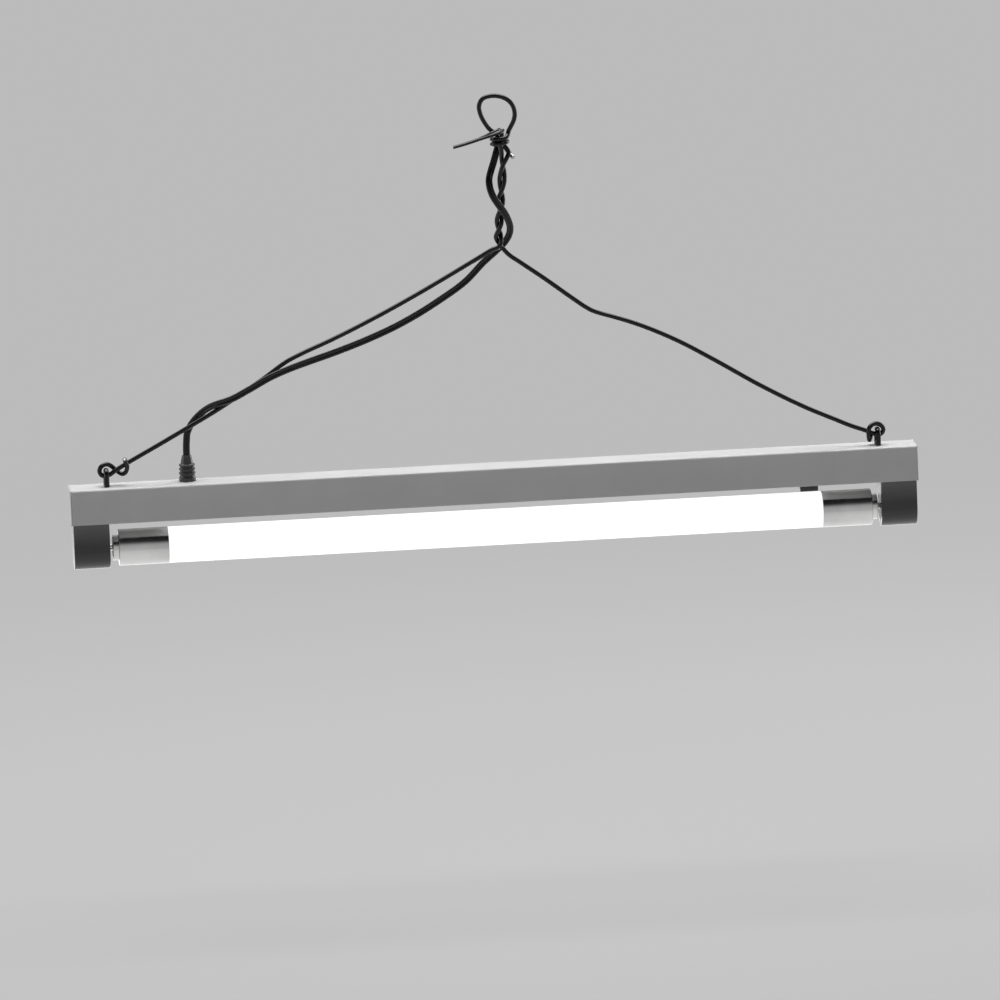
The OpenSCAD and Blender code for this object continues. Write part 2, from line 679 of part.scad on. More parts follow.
module led_chips() {
    half_w = 6;
    r = neck_r - glass_wall - 0.05;
    low = sqrt(r * r - half_w * half_w) - 1.2;
    span = 2 * (cap_x0 - 8);
    color("#f6e9a8") hung() translate([0, 0, tube_z]) for (i = [0:led_count - 1])
        translate([-span / 2 + span * i / (led_count - 1), 0, 0])
            block([-1.75, -1.4, low - 0.8], [1.75, 1.4, low]);
}

module end_cap() {
    skin = 1;
    color("#b4b6b8") hung() difference() {
        union() {
            on_axis(cap_x0, cap_x1, tube_r);
            on_axis(cap_x1 - skin, face_x, boss_d / 2);
        }
        on_axis(cap_x0 - 1, cap_x1 - skin, tube_r - cap_wall);
        on_axis(cap_x1 - skin - 1, face_x - skin, boss_d / 2 - skin);
        on_axis(face_x - skin - 1, face_x + 1, 8.3, medium);
    }
}

module end_cap_left() {
    translate([-2 * loop_x, 0, 0]) mirror([1, 0, 0]) end_cap();
}

module end_cap_right() {
    end_cap();
}

module pin_insulator() {
    color("#d8d8d4") hung() difference() {
        union() {
            on_axis(face_x - 2.6, face_x - 1, 8.4, medium);
            on_axis(face_x - 1.1, face_x - 0.1, 8.25, medium);
        }
        for (y = [-1, 1])
            translate([face_x - 4, y * pin_pitch / 2, tube_z]) rotate([0, 90, 0])
                cylinder(r = pin_d / 2 + 0.01, h = 5, $fn = small);
    }
}

module pin_insulator_left() {
    translate([-2 * loop_x, 0, 0]) mirror([1, 0, 0]) pin_insulator();
}

module pin_insulator_right() {
    pin_insulator();
}

module end_pins() {
    color("#c8a24a") hung() for (y = [-1, 1])
        translate([face_x - 4, y * pin_pitch / 2, tube_z]) rotate([0, 90, 0])
            cylinder(r = pin_d / 2, h = 4 + pin_l, $fn = small);
}

module end_pins_left() {
    translate([-2 * loop_x, 0, 0]) mirror([1, 0, 0]) end_pins();
}

module end_pins_right() {
    end_pins();
}

// The supply inside the left cap: a small board, a choke, a capacitor and a rectifier
module driver_board() {
    color("#2f6b46") hung() translate([0, 0, tube_z])
        block([-cap_x1 + 2.5, -9, -1.6], [-cap_x0 - neck_l - 1, 9, -0.4]);
}

module driver_parts() {
    x0 = -cap_x1 + 5;
    color("#c4862f") hung() translate([0, 0, tube_z]) {
        translate([x0 + 4.5, -3.6, -0.4]) cylinder(r = 4, h = 7, $fn = medium);
        translate([x0 + 9, 4, 4]) rotate([0, 90, 0]) cylinder(r = 3.9, h = 13, $fn = medium);
        translate([x0 + 9.6, 2.4, -0.4]) cube([11, 3.2, 1]);
        translate([x0 + 13, -7, -0.4]) cube([8, 6, 2.6]);
    }
}

// Two leads from the left pins to the driver, and the bridge between the right pins
module pin_leads() {
    r = 0.5;
    x0 = -face_x + 4;
    color("#a33b32") hung() for (y = [-1, 1])
        wire([[x0 + 0.05, y * pin_pitch / 2, tube_z], [x0 + 1.2, y * 6, tube_z], [x0 + 2.6, y * 5, tube_z - 0.6],
            [-cap_x1 + 2.45, y * 5, tube_z - 1]], r, 2, 8);
    color("#a33b32") hung() wire([[face_x - 4.05, -pin_pitch / 2, tube_z], [face_x - 5.2, -5, tube_z],
        [face_x - 5.6, 0, tube_z], [face_x - 5.2, 5, tube_z], [face_x - 4.05, pin_pitch / 2, tube_z]], r, 2, 8);
}

hanger_wire_left();
hanger_wire_right();
channel();
end_plate_left();
end_plate_right();
bottom_cover();
cover_brackets();
cover_screws();
eyelet_left();
eyelet_right();
eyelet_nuts();
lampholder_left();
lampholder_right();
holder_contacts_left();
holder_contacts_right();
holder_screws();
cord_gland();
gland_locknut();
power_cord();
cord_tail();
terminal_block();
terminal_screws();
neutral_wire();
live_wire();
switched_wire();
switch_body();
switch_screws();
switch_knob();
tube_glass();
led_board();
led_chips();
end_cap_left();
end_cap_right();
pin_insulator_left();
pin_insulator_right();
end_pins_left();
end_pins_right();
driver_board();
driver_parts();
pin_leads();
rotor_left();
rotor_right();
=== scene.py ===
"""A hanging shop light: a sheet-metal bar with one glowing tube, hung on two twisted coated wires.

Sizes are millimetres, measured from the middle of the bar's top face with +X along the bar to the
right, +Y to the back and +Z up, and hung() turns them into metres with the loop as the origin.
"""

from __future__ import annotations

import json
import logging
import math
from dataclasses import dataclass, field, replace
from enum import Enum
from typing import Iterable, Sequence

import bmesh
import bpy
import numpy as np
from mathutils import Matrix, Vector

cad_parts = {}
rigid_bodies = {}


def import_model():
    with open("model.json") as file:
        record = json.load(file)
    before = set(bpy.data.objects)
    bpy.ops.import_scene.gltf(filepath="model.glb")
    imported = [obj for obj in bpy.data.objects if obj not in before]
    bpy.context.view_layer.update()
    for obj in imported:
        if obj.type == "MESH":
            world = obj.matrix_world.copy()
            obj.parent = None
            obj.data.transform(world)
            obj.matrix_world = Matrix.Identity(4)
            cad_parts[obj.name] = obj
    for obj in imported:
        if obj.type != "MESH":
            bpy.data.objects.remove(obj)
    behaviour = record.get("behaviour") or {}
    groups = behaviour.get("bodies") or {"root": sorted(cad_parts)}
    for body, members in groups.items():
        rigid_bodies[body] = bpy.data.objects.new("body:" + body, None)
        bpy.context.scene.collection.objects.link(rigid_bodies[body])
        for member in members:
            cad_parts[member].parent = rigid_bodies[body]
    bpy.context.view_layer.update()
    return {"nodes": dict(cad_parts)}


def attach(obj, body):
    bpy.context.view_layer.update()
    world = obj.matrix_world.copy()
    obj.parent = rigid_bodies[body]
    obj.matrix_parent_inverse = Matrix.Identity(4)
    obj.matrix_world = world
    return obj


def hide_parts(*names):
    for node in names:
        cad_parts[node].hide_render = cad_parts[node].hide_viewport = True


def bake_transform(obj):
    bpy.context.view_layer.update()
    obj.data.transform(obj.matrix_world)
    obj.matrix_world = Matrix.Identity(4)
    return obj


log = logging.getLogger("shop_light")

Point = tuple[float, float, float]
Pair = tuple[float, float]
Mesh = bpy.types.Mesh
Piece = bpy.types.Object
Shape = bmesh.types.BMesh
Edge = bmesh.types.BMEdge
Socket = bpy.types.NodeSocket

LOOP_X = 13.5
LOOP_H = 284.0
BAR_H = 27.0
EYE_X = 297.3
TUBE_Z = -48.0
WHITE = (1.0, 1.0, 1.0, 1.0)
SAME_M = 1e-6


def hung(point: Sequence[float]) -> Vector:
    """Turns a place in millimetres from the bar's top into metres from the hanging loop.

    Args:
        point: x, y and z in millimetres from the middle of the bar's top face.

    Returns:
        The same place in the row frame, in metres.
    """
    return Vector(((point[0] - LOOP_X) / 1000, point[1] / 1000, (point[2] - LOOP_H) / 1000))


def grey(level: float) -> Point:
    """The colour with one level in red, green and blue."""
    return (level, level, level)


class Side(Enum):
    """Which end of the bar a piece is at; the value is the sign of its place along the bar."""

    LEFT = -1
    RIGHT = 1

    @property
    def word(self) -> str:
        """The word that the CAD nodes of this end carry."""
        return self.name.lower()


# ---------------------------------------------------------------- node trees


class Graph:
    """A node tree in the making, with helpers that make its nodes and join them."""

    def __init__(self, tree: bpy.types.NodeTree) -> None:
        """Empties the node tree of a material or a world."""
        self.tree = tree
        tree.nodes.clear()

    def feed(self, socket: Socket, value: object) -> None:
        """Gives an input a value, or joins it to another node's output."""
        if isinstance(value, Socket):
            self.tree.links.new(value, socket)
        else:
            socket.default_value = value

    def node(
        self, kind: str, inputs: dict[int | str, object] | None = None, **settings: str
    ) -> bpy.types.Node:
        """Makes a node.

        Args:
            kind: its type, without the "ShaderNode" in front.
            inputs: what each input gets, apart from those that are left alone.
            settings: its own settings by name.

        Returns:
            The node.
        """
        made = self.tree.nodes.new(f"ShaderNode{kind}")
        for name, value in settings.items():
            setattr(made, name, value)
        for key, value in (inputs or {}).items():
            self.feed(made.inputs[key], value)
        return made

    def calc(self, operation: str, *values: Socket | float) -> Socket:
        """The outcome of an operation on numbers."""
        return self.node("Math", dict(enumerate(values)), operation=operation).outputs[0]

    def mix(self, share: Socket, first: Socket | float, second: Socket | float) -> Socket:
        """A number that goes from the first to the second as the share grows."""
        return self.node("Mix", {"Factor": share, "A": first, "B": second}).outputs["Result"]

    def blend(self, share: Socket, first: Socket, second: Socket) -> Socket:
        """A shader that goes from the first to the second as the share grows."""
        return self.node("MixShader", {0: share, 1: first, 2: second}).outputs[0]

    def part(self, vector: Socket, axis: str) -> Socket:
        """One coordinate of a vector."""
        return self.node("SeparateXYZ", {0: vector}).outputs[axis]

    def between(
        self, value: Socket, low: float, high: float, start: float = 0.3, stop: float = 0.7, **settings: str
    ) -> Socket:
        """Maps a number to a range.

        Args:
            value: the number.
            low: the outcome where the number is at start.
            high: the outcome where the number is at stop.
            start: the number's low end.
            stop: the number's high end.
            settings: the node's own settings.

        Returns:
            The mapped number.
        """
        inputs = {"Value": value, "From Min": start, "From Max": stop, "To Min": low, "To Max": high}
        return self.node("MapRange", inputs, **settings).outputs["Result"]

    def ramp(self, place: Socket, stops: Sequence[tuple[float, Point]]) -> Socket:
        """A ramp of colours.

        Args:
            place: where on the ramp to read, from 0 to 1.
            stops: a place in rising order and the colour there, for each stop.

        Returns:
            The colour.
        """
        node = self.node("ValToRGB", {"Fac": place})
        elements = node.color_ramp.elements
        elements.remove(elements[1])
        for i, (at, colour) in enumerate(stops):
            element = elements.new(at) if i else elements[0]
            element.position = at
            element.color = (*colour, 1.0)
        return node.outputs["Color"]


class Shade(Graph):
    """A material in the making: a Principled shader and a few helpers that feed it."""

    def __init__(self, name: str) -> None:
        """Starts a material of that name."""
        self.material = bpy.data.materials.new(name)
        self.material.use_nodes = True
        super().__init__(self.material.node_tree)
        self.surface = self.node("BsdfPrincipled")
        self.node("OutputMaterial", {"Surface": self.surface.outputs["BSDF"]})
        self.place = self.node("TexCoord").outputs["Object"]

    def set(self, **values: object) -> None:
        """Feeds the shader's own inputs, with spaces written as underscores."""
        for name, value in values.items():
            self.feed(self.surface.inputs[name.replace("_", " ")], value)

    def noise(self, scale: float, detail: float, stretch: Point | None = None) -> Socket:
        """A noise pattern on Object coordinates.

        Args:
            scale: how many features fit in a metre.
            detail: how many finer layers it has.
            stretch: the factor on the coordinates along x, y and z.

        Returns:
            The pattern, from 0 to 1.
        """
        place = self.place
        if stretch:
            place = self.node("Mapping", {"Vector": place, "Scale": stretch}).outputs["Vector"]
        return self.node("TexNoise", {"Vector": place, "Scale": scale, "Detail": detail}).outputs["Fac"]

    def tint(
        self, pattern: Socket, first: Point, second: Point, start: float = 0.35, stop: float = 0.65
    ) -> None:
        """Lets the base colour wander between two colours.

        Args:
            pattern: the pattern that mixes them.
            first: the colour at the pattern's low end.
            second: the colour at its high end.
            start: the pattern's low end.
            stop: the pattern's high end.
        """
        self.set(Base_Color=self.ramp(pattern, [(start, first), (stop, second)]))

    def bump(self, pattern: Socket, height_mm: float, strength: float) -> None:
        """Raises the surface by a pattern.

        Args:
            pattern: the height pattern.
            height_mm: the height of the pattern in millimetres.
            strength: the share of it that shows.
        """
        raised = self.node("Bump", {"Strength": strength, "Distance": height_mm / 1000, "Height": pattern})
        self.set(Normal=raised.outputs["Normal"])


# ---------------------------------------------------------------- finishes


@dataclass(frozen=True)
class Finish:
    """A finish that pieces share; each kind of finish fills in its own shader once."""

    name: str

    def shader(self, shade: Shade) -> None:
        """Fills in the shader; each kind of finish has its own."""
        raise NotImplementedError

    def material(self) -> bpy.types.Material:
        """The finish's material, made the first time it is asked for."""
        made = bpy.data.materials.get(self.name)
        if made is None:
            shade = Shade(self.name)
            self.shader(shade)
            made = shade.material
        return made


@dataclass(frozen=True)
class Coat(Finish):
    """Enamel, plastic or rubber: two near colours in patches, a gloss range and a fine grain.

    Patch, gloss and grain are noise patterns, each with its features in a metre and its layers.
    """

    dark: Point
    light: Point
    low: float = 0.36
    high: float = 0.48
    patch: Pair = (90, 4)
    gloss: Pair = (198, 3)
    grain: Pair = (1800, 2)
    grain_mm: float = 0.010
    share: float = 0.6
    stretch: Point | None = None
    shine: float = 0.5
    metallic: float = 0.0

    def colour(self, shade: Shade) -> None:
        """Fills in the two colours."""
        shade.tint(shade.noise(*self.patch), self.dark, self.light)

    def shader(self, shade: Shade) -> None:
        """Fills in the colour, the gloss and the grain."""
        self.colour(shade)
        rough = shade.between(shade.noise(*self.gloss), self.low, self.high)
        shade.set(Metallic=self.metallic, Specular_IOR_Level=self.shine, Roughness=rough)
        shade.bump(shade.noise(*self.grain, self.stretch), self.grain_mm, self.share)


@dataclass(frozen=True)
class Metal(Coat):
    """Plated or bare metal with a fine drawn grain."""

    patch: Pair = (700, 4)
    gloss: Pair = (900, 3)
    grain: Pair = (2600, 2)
    grain_mm: float = 0.008
    share: float = 0.5
    stretch: Point | None = (1, 1, 0.2)
    metallic: float = 1.0


@dataclass(frozen=True)
class HolderPlasticPaintedLight(Coat):
    """Glossy grey plastic of the lampholders, with painted light: lighter near the bar and on its foot."""

    # Heights in metres of painted light in the colour: darkest at middle, lightest at top where the bar
    # meets it, and a painted floor reflection lightening the foot from foot up to foot_top.
    middle: float = -0.3270
    top: float = -0.3110
    foot: float = -0.3440
    foot_top: float = -0.3370
    foot_painted_reflection: float = 0.45
    uneven: float = 0.12

    def colour(self, shade: Shade) -> None:
        """Fills in the two colours by height as painted light, a little unevenly."""
        height = shade.part(shade.place, "Z")
        # painted light: the colour lightens from the middle up to the bar
        painted_top_light = shade.between(height, 0.0, 1.0, self.middle, self.top)
        # painted reflection: the foot is lighter, standing in for the floor's light on it
        lower = shade.between(height, self.foot_painted_reflection, 0.0, self.foot, self.foot_top)
        level = shade.calc("ADD", painted_top_light, lower)
        level = shade.calc("MULTIPLY_ADD", shade.noise(*self.patch), self.uneven, level)
        shade.tint(level, self.dark, self.light, self.uneven / 2, 1.0)


@dataclass(frozen=True)
class Glow(Finish):
    """Frosted glass lit from inside: white, and so bright that it hides what is in it."""

    strength: float = 0.94

    def shader(self, shade: Shade) -> None:
        """Fills in the frosted surface and its glow."""
        rough = shade.between(shade.noise(400, 3), 0.30, 0.42)
        shade.set(Emission_Color=WHITE, Emission_Strength=self.strength, Roughness=rough)
        shade.tint(shade.noise(120, 2), (0.40, 0.405, 0.41), grey(0.44))


@dataclass(frozen=True)
class Board(Finish):
    """A lacquered circuit board with a faint weave under the lacquer."""

    dark: Point
    light: Point
    weave: float = 900
    waver: float = 1.5

    def shader(self, shade: Shade) -> None:
        """Fills in the lacquer and the weave."""
        inputs = {"Vector": shade.place, "Scale": self.weave, "Distortion": self.waver}
        wave = shade.node("TexWave", inputs).outputs["Fac"]
        shade.tint(wave, self.dark, self.light, 0.1, 0.9)
        shade.set(Roughness=shade.between(shade.noise(300, 3), 0.28, 0.40))
        shade.bump(wave, 0.01, 0.4)


ENAMEL = Coat(
    "white_enamel", grey(0.765), grey(0.80), 0.38, 0.50, (22, 5), (60, 4), (1400, 2), 0.012, 0.5, shine=0.2)
WIRE = Coat(
    "black_wire_coating", grey(0.002), grey(0.005), 0.14, 0.24, (160, 4), (220, 4), (900, 3), 0.004,
    shine=0.36)
EYELET = replace(WIRE, name="black_eyelet_coating", low=0.10, high=0.18)
JACKET = Coat(
    "black_cord_jacket", grey(0.005), grey(0.011), 0.20, 0.32, grain=(1200, 2), grain_mm=0.003, shine=0.45)
GLAND = Coat("black_gland_nylon", grey(0.042), grey(0.056), 0.22, 0.32, grain=(1500, 2), grain_mm=0.006)
# The holder's colour holds painted light by height: lighter near the bar, and a painted reflection on the
# foot.
HOLDER_PAINTED_LIGHT = HolderPlasticPaintedLight(
    "grey_holder_plastic_painted_light", (0.024, 0.024, 0.0245), (0.150, 0.150, 0.151), 0.16, 0.24, gloss=(200, 3),
    grain=(2200, 2), grain_mm=0.004, share=0.5, shine=0.6)
ROTOR = Coat("pale_rotor_plastic", grey(0.40), grey(0.46), 0.30, 0.42)
SWITCH = Coat("black_switch_plastic", grey(0.008), grey(0.016), 0.24, 0.34, shine=0.6)
KNOB = Coat("ivory_knob_plastic", (0.70, 0.70, 0.67), (0.78, 0.78, 0.75), 0.30, 0.40)
TERMINAL = Coat("ivory_terminal_plastic", (0.66, 0.64, 0.58), (0.74, 0.72, 0.66), 0.34, 0.46)
INSULATOR = Coat("pale_insulator_plastic", (0.62, 0.62, 0.59), (0.70, 0.70, 0.67))
BLUE = Coat("blue_lead_jacket", (0.02, 0.06, 0.22), (0.03, 0.09, 0.30))
BROWN = Coat("brown_lead_jacket", (0.09, 0.035, 0.015), (0.13, 0.05, 0.02))
BLACK = Coat("black_lead_jacket", grey(0.012), grey(0.022))
RED = Coat("red_lead_jacket", (0.35, 0.03, 0.02), (0.45, 0.05, 0.03))
CHIP = Coat("phosphor_chip", (0.82, 0.66, 0.16), (0.90, 0.76, 0.24), 0.30, 0.45)
PARTS = Coat(
    "driver_component_cases", (0.05, 0.035, 0.02), (0.16, 0.10, 0.04), 0.25, 0.45, (140, 4), (308, 3))
ZINC = Metal("zinc_plated_steel", (0.53, 0.53, 0.54), grey(0.67), 0.28, 0.42)
CUT_STEEL = Metal("cut_steel_core", grey(0.26), (0.34, 0.34, 0.335), 0.40, 0.52)
TINNED = Metal("cut_tinned_core", (0.46, 0.44, 0.42), (0.62, 0.60, 0.58), 0.28, 0.42)
PIN_METAL = Metal("pin_plating", (0.76, 0.76, 0.74), (0.88, 0.88, 0.86), 0.15, 0.28)
BRASS = Metal(
    "drawn_brass", (0.60, 0.45, 0.20), (0.74, 0.58, 0.30), 0.22, 0.40, (600, 4), (500, 3), (3000, 2), 0.005,
    stretch=None)
CAP_METAL = Metal(
    "turned_cap_metal", (0.64, 0.64, 0.635), (0.73, 0.73, 0.725), 0.17, 0.25, (45, 4), (45, 4), (2400, 3),
    0.006, 0.35, (1, 0.015, 0.015))
GREEN_BOARD = Board("green_board_lacquer", (0.02, 0.12, 0.05), (0.03, 0.17, 0.08))
WHITE_BOARD = Board("white_board_lacquer", (0.74, 0.74, 0.72), (0.80, 0.80, 0.78))
GLOW = Glow("glowing_frosted_glass")


# ---------------------------------------------------------------- shaping


def placed(name: str, data: bpy.types.ID) -> Piece:
    """Puts a new object that shows the data in the scene."""
    piece = bpy.data.objects.new(name, data)
    bpy.context.scene.collection.objects.link(piece)
    return piece


def finished(name: str, mesh: Mesh, finish: Finish, smooth_deg: float = 35) -> Piece:
    """Puts a mesh in the scene as a piece with its finish and smooth shading.

    Args:
        name: the piece's name.
        mesh: its mesh, in place.
        finish: its finish.
        smooth_deg: edges sharper than this stay sharp.

    Returns:
        The piece.
    """
    mesh.name = name
    mesh.materials.clear()
    mesh.materials.append(finish.material())
    mesh.shade_smooth()
    mesh.set_sharp_from_angle(angle=math.radians(smooth_deg))
    return placed(name, mesh)


def written(shape: Shape) -> Mesh:
    """Writes a worked-out shape to a mesh and frees the shape."""
    mesh = bpy.data.meshes.new("shape")
    shape.to_mesh(mesh)
    shape.free()
    return mesh


def as_mesh(shape: Shape) -> Mesh:
    """Writes a closed shape to a mesh whose faces point outwards, and frees the shape."""
    bmesh.ops.remove_doubles(shape, verts=shape.verts, dist=1e-7)
    bmesh.ops.recalc_face_normals(shape, faces=shape.faces)
    return written(shape)


def merged(parts: Iterable[Mesh]) -> Mesh:
    """One mesh of several separate meshes, which are removed."""
    whole = bmesh.new()
    for part in parts:
        whole.from_mesh(part)
        bpy.data.meshes.remove(part)
    return written(whole)


def runs_along(edge: Edge) -> bool:
    """Whether an edge runs along the bar."""
    return abs(edge.verts[0].co.x - edge.verts[1].co.x) > 0.1


def level_at(edge: Edge, z: float) -> bool:
    """Whether both ends of an edge are at that height in metres."""
    return all(abs(v.co.z - z) < SAME_M for v in edge.verts)


def bevelled(shape: Shape, edges: Sequence[Edge], radius: float, steps: int) -> None:
    """Rounds edges of a shape.

    Args:
        shape: the shape.
        edges: the edges that are rounded.
        radius: the rounding's radius in millimetres.
        steps: how many steps the rounding has.
    """
    bmesh.ops.bevel(
        shape, geom=edges, offset=radius / 1000, segments=steps, profile=0.5, affect="EDGES", material=-1
    )


def box_shape(low: Point, high: Point, radius: float = 0.0, steps: int = 3) -> Shape:
    """A block with rounded edges.

    Args:
        low: its low corner in millimetres from the bar's top.
        high: its high corner.
        radius: the radius of its edges in millimetres, or 0 for sharp ones.
        steps: how many steps an edge has.

    Returns:
        The block.
    """
    shape = bmesh.new()
    middle, size = (hung(low) + hung(high)) / 2, hung(high) - hung(low)
    bmesh.ops.create_cube(shape, size=1, matrix=Matrix.Translation(middle) @ Matrix.Diagonal((*size, 1)))
    if radius:
        bevelled(shape, shape.edges[:], radius, steps)
    return shape


def rounded(corners: Sequence[Point], steps: int = 5) -> list[Pair]:
    """Rounds the corners of a closed outline.

    Args:
        corners: a, b and the corner's radius for each corner in turn.
        steps: how many steps a rounded corner has.

    Returns:
        The outline's points.
    """
    outline: list[Pair] = []
    for i, (a, b, radius) in enumerate(corners):
        here = Vector((a, b))
        if radius <= 0:
            outline.append((a, b))
            continue
        before = Vector(corners[i - 1][:2]) - here
        after = Vector(corners[(i + 1) % len(corners)][:2]) - here
        half = before.angle(after) / 2
        reach = min(radius / math.tan(half), before.length * 0.49, after.length * 0.49)
        start, stop = here + before.normalized() * reach, here + after.normalized() * reach
        for k in range(steps + 1):
            u = k / steps
            spot = start * (1 - u) ** 2 + here * (2 * u * (1 - u)) + stop * u**2
            outline.append((spot.x, spot.y))
    return outline


def spun_shape(outline: Sequence[Pair], centre: Point, axis: Point, steps: int = 96) -> Shape:
    """Spins a closed outline round an axis.

    Args:
        outline: places along the axis and out from it, in millimetres.
        centre: the point of the axis that places are counted from, in millimetres from the bar's top.
        axis: the axis's direction, square to Y.
        steps: how many steps a turn has.

    Returns:
        The turned shape.
    """
    shape = bmesh.new()
    along, out, base = Vector(axis), Vector((0, 1, 0)), hung(centre)
    verts = [shape.verts.new(base + along * (a / 1000) + out * (r / 1000)) for a, r in outline]
    edges = [shape.edges.new((verts[i], verts[(i + 1) % len(verts)])) for i in range(len(verts))]
    bmesh.ops.spin(
        shape, geom=verts + edges, cent=base, axis=along, dvec=(0, 0, 0), angle=2 * math.pi,
        steps=steps, use_merge=True, use_duplicate=False,
    )
    return shape


def rod_shape(start: Point, stop: Point, radius: float, steps: int) -> Shape:
    """A plain round rod between two points.

    Args:
        start: one end in millimetres from the bar's top.
        stop: the other end.
        radius: its radius in millimetres.
        steps: how many sides it has.

    Returns:
        The rod.
    """
    shape = bmesh.new()
    a, b = hung(start), hung(stop)
    turn = (b - a).to_track_quat("Z", "Y").to_matrix().to_4x4()
    bmesh.ops.create_cone(
        shape, cap_ends=True, segments=steps, radius1=radius / 1000, radius2=radius / 1000,
        depth=(b - a).length, matrix=Matrix.Translation((a + b) / 2) @ turn,
    )
    return shape


def carved(mesh: Mesh, *cutters: Shape) -> Mesh:
    """Cuts shapes out of a mesh.

    Args:
        mesh: the mesh that is cut.
        cutters: the shapes that are taken away; they are freed.

    Returns:
        The cut mesh.
    """
    body = placed("carved_body", mesh)
    for cutter in cutters:
        tool = placed("carving_tool", as_mesh(cutter))
        cut = body.modifiers.new("cut", "BOOLEAN")
        cut.operation, cut.solver, cut.object = "DIFFERENCE", "EXACT", tool
        bpy.context.view_layer.update()
        seen = body.evaluated_get(bpy.context.evaluated_depsgraph_get())
        result = bpy.data.meshes.new_from_object(seen)
        body.modifiers.clear()
        body.data = result
        bpy.data.objects.remove(tool)
    result = body.data
    bpy.data.objects.remove(body)
    return result


def steps_between(a: Vector, b: Vector, gap: float) -> int:
    """How many steps of about that gap lie between two points."""
    return max(1, round((b - a).length / gap))


def smooth_line(points: Sequence[Point], gap: float) -> list[Vector]:
    """A smooth line through points, as the wires and the cord run.

    Args:
        points: the points in millimetres.
        gap: the length of a step in millimetres.

    Returns:
        The line's points in millimetres.
    """
    p = [Vector(q) for q in points]
    slopes = [(p[1] - p[0]).normalized()]
    for a, b, c in zip(p, p[1:], p[2:]):
        d0, d1 = max((b - a).length, 1e-6), max((c - b).length, 1e-6)
        slopes.append(((b - a) * d1 / d0 + (c - b) * d0 / d1).normalized())
    slopes.append((p[-1] - p[-2]).normalized())
    line: list[Vector] = []
    for a, b, ta, tb in zip(p, p[1:], slopes, slopes[1:]):
        span, steps = (b - a).length, steps_between(a, b, gap)
        for k in range(steps):
            u = k / steps
            line.append(
                (2 * u**3 - 3 * u**2 + 1) * a + (u**3 - 2 * u**2 + u) * span * ta
                + (3 * u**2 - 2 * u**3) * b + (u**3 - u**2) * span * tb
            )
    line.append(p[-1])
    return line


def length_of(line: Sequence[Vector]) -> float:
    """The length of a line of points."""
    return sum((b - a).length for a, b in zip(line, line[1:]))


def wire_mesh(line: Sequence[Vector], radius: float, resolution: int = 5) -> Mesh:
    """A round wire with closed ends along a line.

    Args:
        line: its centreline in millimetres from the bar's top.
        radius: its radius in millimetres.
        resolution: half its number of sides, less two.

    Returns:
        The mesh, in place.
    """
    curve = bpy.data.curves.new("wire", "CURVE")
    curve.dimensions = "3D"
    curve.bevel_depth = radius / 1000
    curve.bevel_resolution = resolution
    curve.use_fill_caps = True
    spline = curve.splines.new("POLY")
    spline.points.add(len(line) - 1)
    for spot, place in zip(spline.points, line):
        spot.co = (*hung(place), 1)
    holder = placed("wire", curve)
    bpy.context.view_layer.update()
    mesh = bpy.data.meshes.new_from_object(holder.evaluated_get(bpy.context.evaluated_depsgraph_get()))
    bpy.data.objects.remove(holder)
    bpy.data.curves.remove(curve)
    return mesh


def lookup(value: float, table: Sequence[Pair]) -> float:
    """A number read between the rows of a table, each a place in rising order and its number."""
    return float(np.interp(value, *zip(*table)))


# ---------------------------------------------------------------- camera and studio


@dataclass
class PhotoCamera:
    """The camera of the photograph: a long lens a little above and to the left of the front."""

    azimuth_deg: float = 4.94
    elevation_deg: float = 10.3
    roll_deg: float = -2.22
    distance_mm: float = 9213.0
    focal_px: float = 12000.0
    picture_px: float = 1000.0
    sensor_mm: float = 36.0
    clip: Pair = (0.5, 60.0)
    aim: Point = (4.18, 0.0, -27.27)

    def build(self) -> None:
        """Makes the camera and gives it to the scene."""
        az, el, roll = (math.radians(a) for a in (self.azimuth_deg, self.elevation_deg, self.roll_deg))
        data = bpy.data.cameras.new("photo_camera")
        data.sensor_width = self.sensor_mm
        data.lens = self.focal_px / self.picture_px * self.sensor_mm
        data.clip_start, data.clip_end = self.clip
        camera = placed("photo_camera", data)
        turn = Matrix.Rotation(-az, 4, "Z") @ Matrix.Rotation(math.pi / 2 - el, 4, "X")
        away = Matrix.Rotation(roll, 4, "Z") @ Matrix.Translation((0, 0, self.distance_mm / 1000))
        camera.matrix_world = Matrix.Translation(hung(self.aim)) @ turn @ away
        bpy.context.scene.camera = camera


@dataclass(frozen=True)
class Lamp:
    """One softbox; a lamp that isn't mirrored lights pieces but shows in none of them."""

    name: str
    place: Point
    width: float
    height: float
    power: float
    mirrored: bool = True
    aim: Point = (0.0, 0.0, -0.25)

    def build(self) -> None:
        """Makes the softbox, which the camera never sees."""
        data = bpy.data.lights.new(self.name, "AREA")
        data.shape, data.size, data.size_y, data.energy = "RECTANGLE", self.width, self.height, self.power
        lamp = placed(self.name, data)
        lamp.location = self.place
        lamp.rotation_euler = (Vector(self.aim) - Vector(self.place)).to_track_quat("-Z", "Y").to_euler()
        lamp.visible_camera = False
        lamp.visible_glossy = self.mirrored


